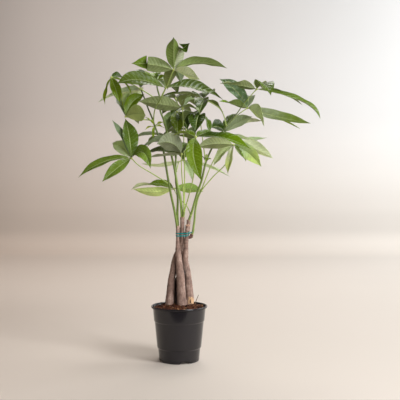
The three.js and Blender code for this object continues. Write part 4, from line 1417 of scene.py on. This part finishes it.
# Operators, one for each piece or group of like pieces

NOTCHES = 4
NOTCH_TURN = 19.5
NOTCH_DEPTH = 30
FOOT_RADIUS = 52.7
FOOT_HEIGHT = 2.8
POT_FLOOR = 1.7
BOSS_RADIUS = 14
RIM_MIDDLE = 142.6
RIM_HALF_WIDTH = 2.1
RIM_HALF_HEIGHT = 2.35
RIM_STEPS = 8
FILLET = 0.8


class MONEYTREE_OT_pot(bpy.types.Operator):
    """Makes the nursery pot, with its rolled rim, steps and foot notches"""

    bl_idname = "moneytree.pot"
    bl_label = "Nursery pot"

    def execute(self, context):
        settings = context.scene.moneytree_pot
        wall = settings.wall
        outer = [
            (FOOT_RADIUS - 1.2, 0), (FOOT_RADIUS, 1.2), (53.3, 6.6), (53.1, 7.4), (55.8, 32),
            (56.2, 34), (58.4, 36), (58.9, 41.5), (64.8, 102), (65, 104), (66.7, 105.6),
            (67.2, 110), (70, 139.6), (RIM_RADIUS - 1, 140),
        ]
        rim = []
        for i in range(RIM_STEPS + 1):
            turn = math.pi * (i / RIM_STEPS - 0.5)
            reach = RIM_RADIUS - RIM_HALF_WIDTH + RIM_HALF_WIDTH * math.cos(turn)
            rim.append((reach, RIM_MIDDLE + RIM_HALF_HEIGHT * math.sin(turn)))
        floor = FOOT_HEIGHT + POT_FLOOR
        inner = [
            (70.3, POT_HEIGHT - 1.4), (69.9, 142), (68.5, 138.5), (65.2 - wall, 104.5),
            (58.4 - wall, 37.1), (56 - wall, 34.6), (FOOT_RADIUS - wall, floor + 1.5),
            (FOOT_RADIUS - wall - 2, floor), (0.5, floor),
        ]
        under = [
            (0.5, 0), (BOSS_RADIUS, 0), (BOSS_RADIUS + 1, FOOT_HEIGHT),
            (FOOT_RADIUS - 4.2, FOOT_HEIGHT), (FOOT_RADIUS - 3.4, 0),
        ]
        rings = fillet([*under, *outer], FILLET) + rim + fillet(inner, FILLET)
        pot = turn_body("pot_shell", rings, settings.sides)
        for i in range(NOTCHES):
            self.cut_notch(pot, math.radians(NOTCH_TURN + 360 / NOTCHES * i), settings)
        pot.data.materials.append(plastic_finish(settings))
        shaded(pot, 32)
        flat = pot.modifiers.new("flat_runs", "WEIGHTED_NORMAL")
        flat.weight = 100
        flat.keep_sharp = True
        bpy.ops.object.modifier_apply(modifier=flat.name)
        dress(pot, "black_plastic", "pot")
        return {"FINISHED"}

    def cut_notch(self, pot, turn, settings):
        """Cuts a low arch through the foot, with a flattened cylinder across the wall."""
        bpy.ops.object.select_all(action="DESELECT")
        place = Vector((math.sin(turn), -math.cos(turn), 0)) * FOOT_RADIUS * MM
        bpy.ops.mesh.primitive_cylinder_add(
            vertices=48, radius=settings.notch_height * MM, depth=NOTCH_DEPTH * MM,
            location=place, rotation=(math.pi / 2, 0, turn))
        cutter = bpy.context.object
        cutter.scale = (settings.notch_width / 2 / settings.notch_height, 1, 1)
        cut = pot.modifiers.new("notch", "BOOLEAN")
        cut.operation = "DIFFERENCE"
        cut.solver = "EXACT"
        cut.object = cutter
        select_only(pot)
        bpy.ops.object.modifier_apply(modifier=cut.name)
        bpy.data.objects.remove(cutter)


SOIL_EDGE = 139.5
SOIL_CROWN = 145.5
SOIL_RADIUS = 68.3
SOIL_SIDES = 128
SOIL_RINGS = 34
CHIP_LENGTHS = (2.2, 3.2, 4.5, 6.5)
CHIP_TONES = [
    (0.012, 0.006, 0.004), (0.030, 0.011, 0.007), (0.060, 0.020, 0.011), (0.090, 0.032, 0.017),
    (0.140, 0.052, 0.027), (0.240, 0.120, 0.055),
]
FIBRE_POINTS = 5
FIBRE_STEP = 2.6


def mix_height(x, y):
    """How high the mix lies at a place, in millimetres."""
    reach = math.hypot(x, y) / SOIL_RADIUS
    swell = (SOIL_CROWN - SOIL_EDGE) * (1 - reach * reach)
    rough = 1.1 * math.sin(0.31 * x + 0.9) * math.cos(0.27 * y - 0.4)
    bumps = 1.3 * noise.noise(Vector((x, y, 0)) * 0.12)
    bumps += 0.6 * noise.noise(Vector((x, y, 9)) * 0.4)
    return SOIL_EDGE + swell + (rough + bumps) * (1 - smooth(reach, 0.9, 1.0))


def strewn(rng, share):
    """A random place on the mix, within a share of its radius."""
    reach = SOIL_RADIUS * share * math.sqrt(rng.random())
    turn = rng.uniform(0, 2 * math.pi)
    return reach, reach * math.cos(turn), reach * math.sin(turn)


NOISE_SEED = 1


class MONEYTREE_OT_mix(bpy.types.Operator):
    """Makes the potting mix, its bark chips and its coir fibres"""

    bl_idname = "moneytree.mix"
    bl_label = "Potting mix"

    def execute(self, context):
        settings = context.scene.moneytree_mix
        self.body(settings)
        chips = chip_finish()
        self.chips(settings, chips)
        self.fibres(settings, chips)
        return {"FINISHED"}

    def body(self, settings):
        """The mix itself: a plug turned to the pot's inside, with a heaped and bumpy top."""
        rings = [(1.2, 5), (50.8, 5), (54.4, 34.6), (56.8, 37.1), (63.6, 104.5)]
        for i in range(SOIL_RINGS):
            rings.append((SOIL_RADIUS * (1 - i / SOIL_RINGS), SOIL_EDGE + 0.01 * i))
        mix = turn_body("mix_body", rings, SOIL_SIDES)
        for vertex in mix.data.vertices:
            if vertex.co.z / MM >= SOIL_EDGE - 0.1:
                x, y = vertex.co.x / MM, vertex.co.y / MM
                vertex.co.z = mix_height(x, y) * MM
        mix.data.materials.append(mix_finish(settings))
        dress(shaded(mix, 60), "potting_mix", "soil")

    def chips(self, settings, material):
        """Flat broken chips, each a cut block bevelled and bent, strewn over the mix."""
        bpy.ops.object.select_all(action="DESELECT")
        bpy.ops.mesh.primitive_cube_add(size=1)
        master = bpy.context.object
        bpy.ops.object.mode_set(mode="EDIT")
        bpy.ops.mesh.select_all(action="SELECT")
        bpy.ops.mesh.bevel(offset=0.16, segments=1, affect="EDGES")
        bpy.ops.object.mode_set(mode="OBJECT")
        corners = [v.co.copy() for v in master.data.vertices]
        faces = [tuple(p.vertices) for p in master.data.polygons]
        bpy.data.objects.remove(master)
        rng = random.Random("chips")
        # Unseeded, noise_vector follows the clock, and the chips would differ from run to run
        noise.seed_set(NOISE_SEED)
        skin = Skin()
        for _ in range(settings.chips):
            reach, x, y = strewn(rng, 0.97)
            long = rng.choice(CHIP_LENGTHS) * rng.uniform(0.7, 1.3)
            size = Vector((long, long * rng.uniform(0.35, 0.8), long * rng.uniform(0.2, 0.45)))
            heading = Quaternion(UP, rng.uniform(0, 2 * math.pi))
            tilt = Quaternion((rng.uniform(-1, 1), rng.uniform(-1, 1), 0), rng.uniform(0, 0.9))
            way = heading @ tilt
            centre = Vector((x, y, mix_height(x, y) + size.z * rng.uniform(-0.1, 0.35)))
            room = SOIL_RADIUS - long * 0.6
            if reach > room:
                centre.x *= room / reach
                centre.y *= room / reach
            tone = rng.choice(CHIP_TONES)
            light = rng.uniform(0.7, 1.25)
            tint = tuple(c * light for c in tone)
            seed = rng.uniform(0, 90)
            start = len(skin.points)
            for corner in corners:
                bent = corner + 0.22 * noise.noise_vector(corner * 1.7 + Vector((seed, 0, 0)))
                local = Vector((bent.x * size.x, bent.y * size.y, bent.z * size.z))
                skin.point(centre + way @ local, (*tint, 1))
            for face in faces:
                skin.face(*(start + i for i in face))
        piece = skin.made("mix_chips", [material])
        dress(shaded(piece, 30), "potting_mix")

    def fibres(self, settings, material):
        """Thin curled fibres, lying loose on the mix."""
        rng = random.Random("fibres")
        skin = Skin()
        for _ in range(settings.fibres):
            _, x, y = strewn(rng, 0.9)
            way = rng.uniform(0, 2 * math.pi)
            curl = rng.uniform(-0.5, 0.5)
            points = []
            for _ in range(FIBRE_POINTS):
                lift = rng.uniform(0.1, 1.3)
                points.append(Vector((x, y, mix_height(x, y) + lift)))
                x += FIBRE_STEP * math.cos(way)
                y += FIBRE_STEP * math.sin(way)
                way += curl
                if math.hypot(x, y) > SOIL_RADIUS - 1:
                    break
            if len(points) < 3:
                continue
            thick = rng.uniform(0.14, 0.34)
            tint = tuple(c * rng.uniform(0.8, 1.2) for c in rng.choice(CHIP_TONES[2:]))
            limb(skin, [(p, thick) for p in points], 5, 2.0, lambda *_: ((*tint, 1), (0, 0, 0)))
        piece = skin.made("mix_fibres", [material])
        dress(shaded(piece, 60), "potting_mix")


KNOT_GAP = 9


class MONEYTREE_OT_twig(bpy.types.Operator):
    """Makes the dry twig that stands in the mix"""

    bl_idname = "moneytree.twig"
    bl_label = "Dry twig"

    def execute(self, context):
        skin = Skin()

        def relief(length, turn, where):
            knot = math.exp(-((length % KNOT_GAP - 4) / 0.8) ** 2)
            return 0.12 * noise.noise(where * 0.8) + 0.25 * knot

        limb(skin, nodes_of(TWIG), 12, 0.8, plain, relief)
        piece = skin.made("twig_dry", [twig_finish()])
        dress(shaded(piece), "dry_twig", "twig")
        return {"FINISHED"}


class MONEYTREE_OT_trunks(bpy.types.Operator):
    """Makes the four trunks, with their bark, scars and cut tops"""

    bl_idname = "moneytree.trunks"
    bl_label = "Twisted trunks"

    def execute(self, context):
        settings = context.scene.moneytree_bark
        materials = [bark_finish(settings), cut_finish(settings)]
        for name in TRUNKS:
            trunk(name, materials)
        return {"FINISHED"}


# The tie's two turns, each as its height on every side, and its two ends, twisted round each other
TIE_LOOPS = [
    {"front": 335.6, "right": 339.2, "back": 335, "left": 335.8},
    {"front": 329.2, "right": 335.0, "back": 330, "left": 329.2},
]
TIE_SIDES = ("right", "back", "left", "front")
TIE_STEPS = 220
TIE_STAND = 0.75
TAIL_START = Vector((27.5, -5.5, 336.5))
TAIL_END = Vector((34.5, -8, 339.5))
TAIL_STEPS = 12
TAIL_TWIST = 3.2 * math.pi
TAIL_REACH = 0.9


def wrap_point(turn, height, stand):
    """Where a string drawn tight round the trunks lies on the side that faces turn."""
    out = Vector((math.cos(turn), math.sin(turn), 0))
    rows = [trunk_at(name, height) for name in TRUNKS]
    x, y, _, radius = max(rows, key=lambda row: row[0] * out.x + row[1] * out.y + row[3])
    return Vector((x, y, height)) + out * (radius + stand), out


class MONEYTREE_OT_tie(bpy.types.Operator):
    """Makes the twist tie that holds the trunks together"""

    bl_idname = "moneytree.tie"
    bl_label = "Twist tie"

    def execute(self, context):
        settings = context.scene.moneytree_tie
        skin = Skin()
        for loop in TIE_LOOPS:
            self.loop(skin, settings, loop)
        self.tails(skin)
        piece = skin.made("tie_band", [tie_finish(settings)])
        dress(shaded(piece, 40), "tie_plastic", "twist_tie")
        return {"FINISHED"}

    def section(self, settings):
        """The tape's section as (out, up): flat wings with a round wire along the middle."""
        half = settings.width / 2
        return [
            (0.22, -half), (0.25, -0.55), (0.62, -0.3), (0.72, 0), (0.62, 0.3), (0.25, 0.55),
            (0.22, half), (-0.22, half), (-0.25, 0.55), (-0.35, 0), (-0.25, -0.55), (-0.22, -half),
        ]

    def loop(self, skin, settings, heights):
        """One turn of the tape, tight round the trunks and a little uneven."""
        section = self.section(settings)
        rings = []
        for i in range(TIE_STEPS):
            turn = 2 * math.pi * i / TIE_STEPS
            place = len(TIE_SIDES) * i / TIE_STEPS
            low = TIE_SIDES[int(place) % len(TIE_SIDES)]
            high = TIE_SIDES[(int(place) + 1) % len(TIE_SIDES)]
            height = lerp(heights[low], heights[high], smooth(place - int(place), 0, 1))
            spot = Vector((math.cos(turn) * 3, math.sin(turn) * 3, heights["front"]))
            height += 0.25 * noise.noise(spot)
            point, out = wrap_point(turn, height, TIE_STAND)
            lean = 0.25 * noise.noise(Vector((i * 0.06, heights["front"], 0)))
            rings.append([
                skin.point(point + out * (o + lean * u * 0.5) + UP * u) for o, u in section
            ])
        for one, other in zip(rings, rings[1:] + rings[:1]):
            skin.strip(one, other)

    def tails(self, skin):
        """The two ends, twisted round each other and bent up at the right."""
        for turn in (0, math.pi):
            nodes = []
            for i in range(TAIL_STEPS + 1):
                share = i / TAIL_STEPS
                swing = turn + share * TAIL_TWIST
                core = TAIL_START.lerp(TAIL_END, share)
                off = Vector((0.25 * math.cos(swing), math.sin(swing), math.cos(swing)))
                nodes.append((core + off * TAIL_REACH, 0.85 - 0.15 * share))
            limb(skin, nodes, 10, 0.5)


class MONEYTREE_OT_shoots(bpy.types.Operator):
    """Makes the leafy shoots, with their stems, leaf stalks and leaflets"""

    bl_idname = "moneytree.shoots"
    bl_label = "Leafy shoots"

    def execute(self, context):
        settings = context.scene.moneytree_leaf
        materials = [
            stem_finish(settings),
            leaf_finish("green_leaflet", settings, settings.through),
            leaf_finish("dull_leaflet", settings, settings.through_dull),
        ]
        for name in SHOOTS:
            shoot(name, settings, materials)
        return {"FINISHED"}


# The paper, in metres: how wide it is, where its front edge and its wall are, how high the wall is
# and how wide the bend between them
PAPER_WIDTH = 12
FLOOR_FRONT = -0.352
WALL_AT = 4.6
WALL_HEIGHT = 5
SWEEP_RADIUS = 1.0
NEAR = 0.1
# Each lamp's place, what it points at, its width and height, its power and its colour
LAMPS = {
    "key": ((1.9, -1.5, 1.9), (0.0, 0.0, 0.45), (1.0, 1.0), 62, (0.96, 1.0, 1.02)),
    "front": ((1.1, -2.3, 0.5), (0.0, 0.0, 0.6), (1.2, 0.9), 40, (0.98, 1.0, 1.0)),
    "window": ((2.6, 0.9, 1.7), (0.0, 0.3, 0.3), (1.8, 1.8), 29, (0.96, 1.0, 1.02)),
    "wash": ((3.4, 2.2, 2.2), (2.0, 4.6, 1.2), (1.6, 1.6), 90, (0.96, 1.0, 1.02)),
    "backdrop": ((-0.5, 2.4, 2.6), (-1.0, 4.6, 1.3), (1.6, 1.6), 9, (1.0, 1.0, 1.0)),
    "overhead": ((0.2, 1.5, 2.7), (0.0, 1.0, 0.0), (1.2, 1.2), 28, (1.0, 0.98, 0.95)),
}


class MONEYTREE_OT_studio(bpy.types.Operator):
    """Makes the floor and wall, the lights and the camera"""

    bl_idname = "moneytree.studio"
    bl_label = "Studio"

    def execute(self, context):
        settings = context.scene.moneytree_studio
        self.sweep(settings)
        self.lights(context.scene, settings)
        self.room(context.scene, settings)
        self.camera(context.scene, settings)
        context.scene.view_settings.view_transform = "Standard"
        return {"FINISHED"}

    def sweep(self, settings):
        """Floor and wall in one sheet, swept up behind the plant."""
        bpy.ops.object.select_all(action="DESELECT")
        bpy.ops.mesh.primitive_plane_add(
            size=PAPER_WIDTH, location=(0, WALL_AT - PAPER_WIDTH / 2, 0))
        sheet = bpy.context.object
        sheet.name = "studio_sweep"
        bpy.ops.object.transform_apply(location=True, rotation=True, scale=True)
        for vertex in sheet.data.vertices:
            if vertex.co.y < 0:
                vertex.co.y = FLOOR_FRONT
        self.pick_edges(sheet, lambda end: end.y > WALL_AT - NEAR)
        bpy.ops.mesh.extrude_region_move(TRANSFORM_OT_translate={"value": (0, 0, WALL_HEIGHT)})
        self.pick_edges(sheet, lambda end: end.y > WALL_AT - NEAR and end.z < NEAR)
        bpy.ops.mesh.bevel(offset=SWEEP_RADIUS, segments=24, affect="EDGES")
        bpy.ops.object.mode_set(mode="OBJECT")
        sheet.data.materials.append(paper_finish(settings))
        shaded(sheet, 60)

    def pick_edges(self, sheet, wanted):
        """Selects the edges whose ends both pass the test, and leaves the sheet in edit mode."""
        if bpy.context.mode != "OBJECT":
            bpy.ops.object.mode_set(mode="OBJECT")
        bpy.ops.object.mode_set(mode="EDIT")
        bpy.ops.mesh.select_mode(type="EDGE")
        bpy.ops.mesh.select_all(action="DESELECT")
        bpy.ops.object.mode_set(mode="OBJECT")
        for edge in sheet.data.edges:
            edge.select = all(wanted(sheet.data.vertices[i].co) for i in edge.vertices)
        bpy.ops.object.mode_set(mode="EDIT")

    def lights(self, scene, settings):
        for name, (place, target, size, power, colour) in LAMPS.items():
            lamp = bpy.data.lights.new(name, "AREA")
            lamp.shape = "RECTANGLE"
            lamp.size, lamp.size_y = size
            lamp.energy = power * settings.light
            lamp.color = colour
            holder = bpy.data.objects.new(name, lamp)
            holder.location = place
            way = Vector(target) - Vector(place)
            holder.rotation_euler = way.to_track_quat("-Z", "Y").to_euler()
            holder.visible_glossy = name != "front"
            scene.collection.objects.link(holder)

    def room(self, scene, settings):
        world = bpy.data.worlds.new("room")
        scene.world = world
        world.use_nodes = True
        light = world.node_tree.nodes["Background"]
        light.inputs["Color"].default_value = (*settings.room_tint, 1)
        light.inputs["Strength"].default_value = settings.room

    def camera(self, scene, settings):
        view = bpy.data.cameras.new("front_view")
        view.lens = settings.lens
        view.sensor_width = 36
        view.clip_end = 60
        holder = bpy.data.objects.new("front_view", view)
        holder.location = SIGHT * MM
        holder.rotation_euler = (math.pi / 2, 0, 0)
        scene.collection.objects.link(holder)
        scene.camera = holder


OPERATORS = (
    MONEYTREE_OT_pot,
    MONEYTREE_OT_mix,
    MONEYTREE_OT_twig,
    MONEYTREE_OT_trunks,
    MONEYTREE_OT_tie,
    MONEYTREE_OT_shoots,
    MONEYTREE_OT_studio,
)


class MONEYTREE_PT_sidebar(bpy.types.Panel):
    """Lists the pieces of the money tree"""

    bl_idname = "MONEYTREE_PT_sidebar"
    bl_label = "Money Tree"
    bl_space_type = "VIEW_3D"
    bl_region_type = "UI"
    bl_category = "Money Tree"

    def draw(self, context):
        for operator in OPERATORS:
            self.layout.operator(operator.bl_idname)


CLASSES = (*GROUPS.values(), *OPERATORS, MONEYTREE_PT_sidebar)


def register():
    for kind in CLASSES:
        bpy.utils.register_class(kind)
    for name, group in GROUPS.items():
        setattr(bpy.types.Scene, name, bpy.props.PointerProperty(type=group))


def unregister():
    for name in GROUPS:
        delattr(bpy.types.Scene, name)
    for kind in reversed(CLASSES):
        bpy.utils.unregister_class(kind)


def main():
    register()
    bpy.ops.moneytree.pot()
    bpy.ops.moneytree.mix()
    bpy.ops.moneytree.twig()
    bpy.ops.moneytree.trunks()
    bpy.ops.moneytree.tie()
    bpy.ops.moneytree.shoots()
    bpy.ops.moneytree.studio()


if __name__ == "__main__":
    main()
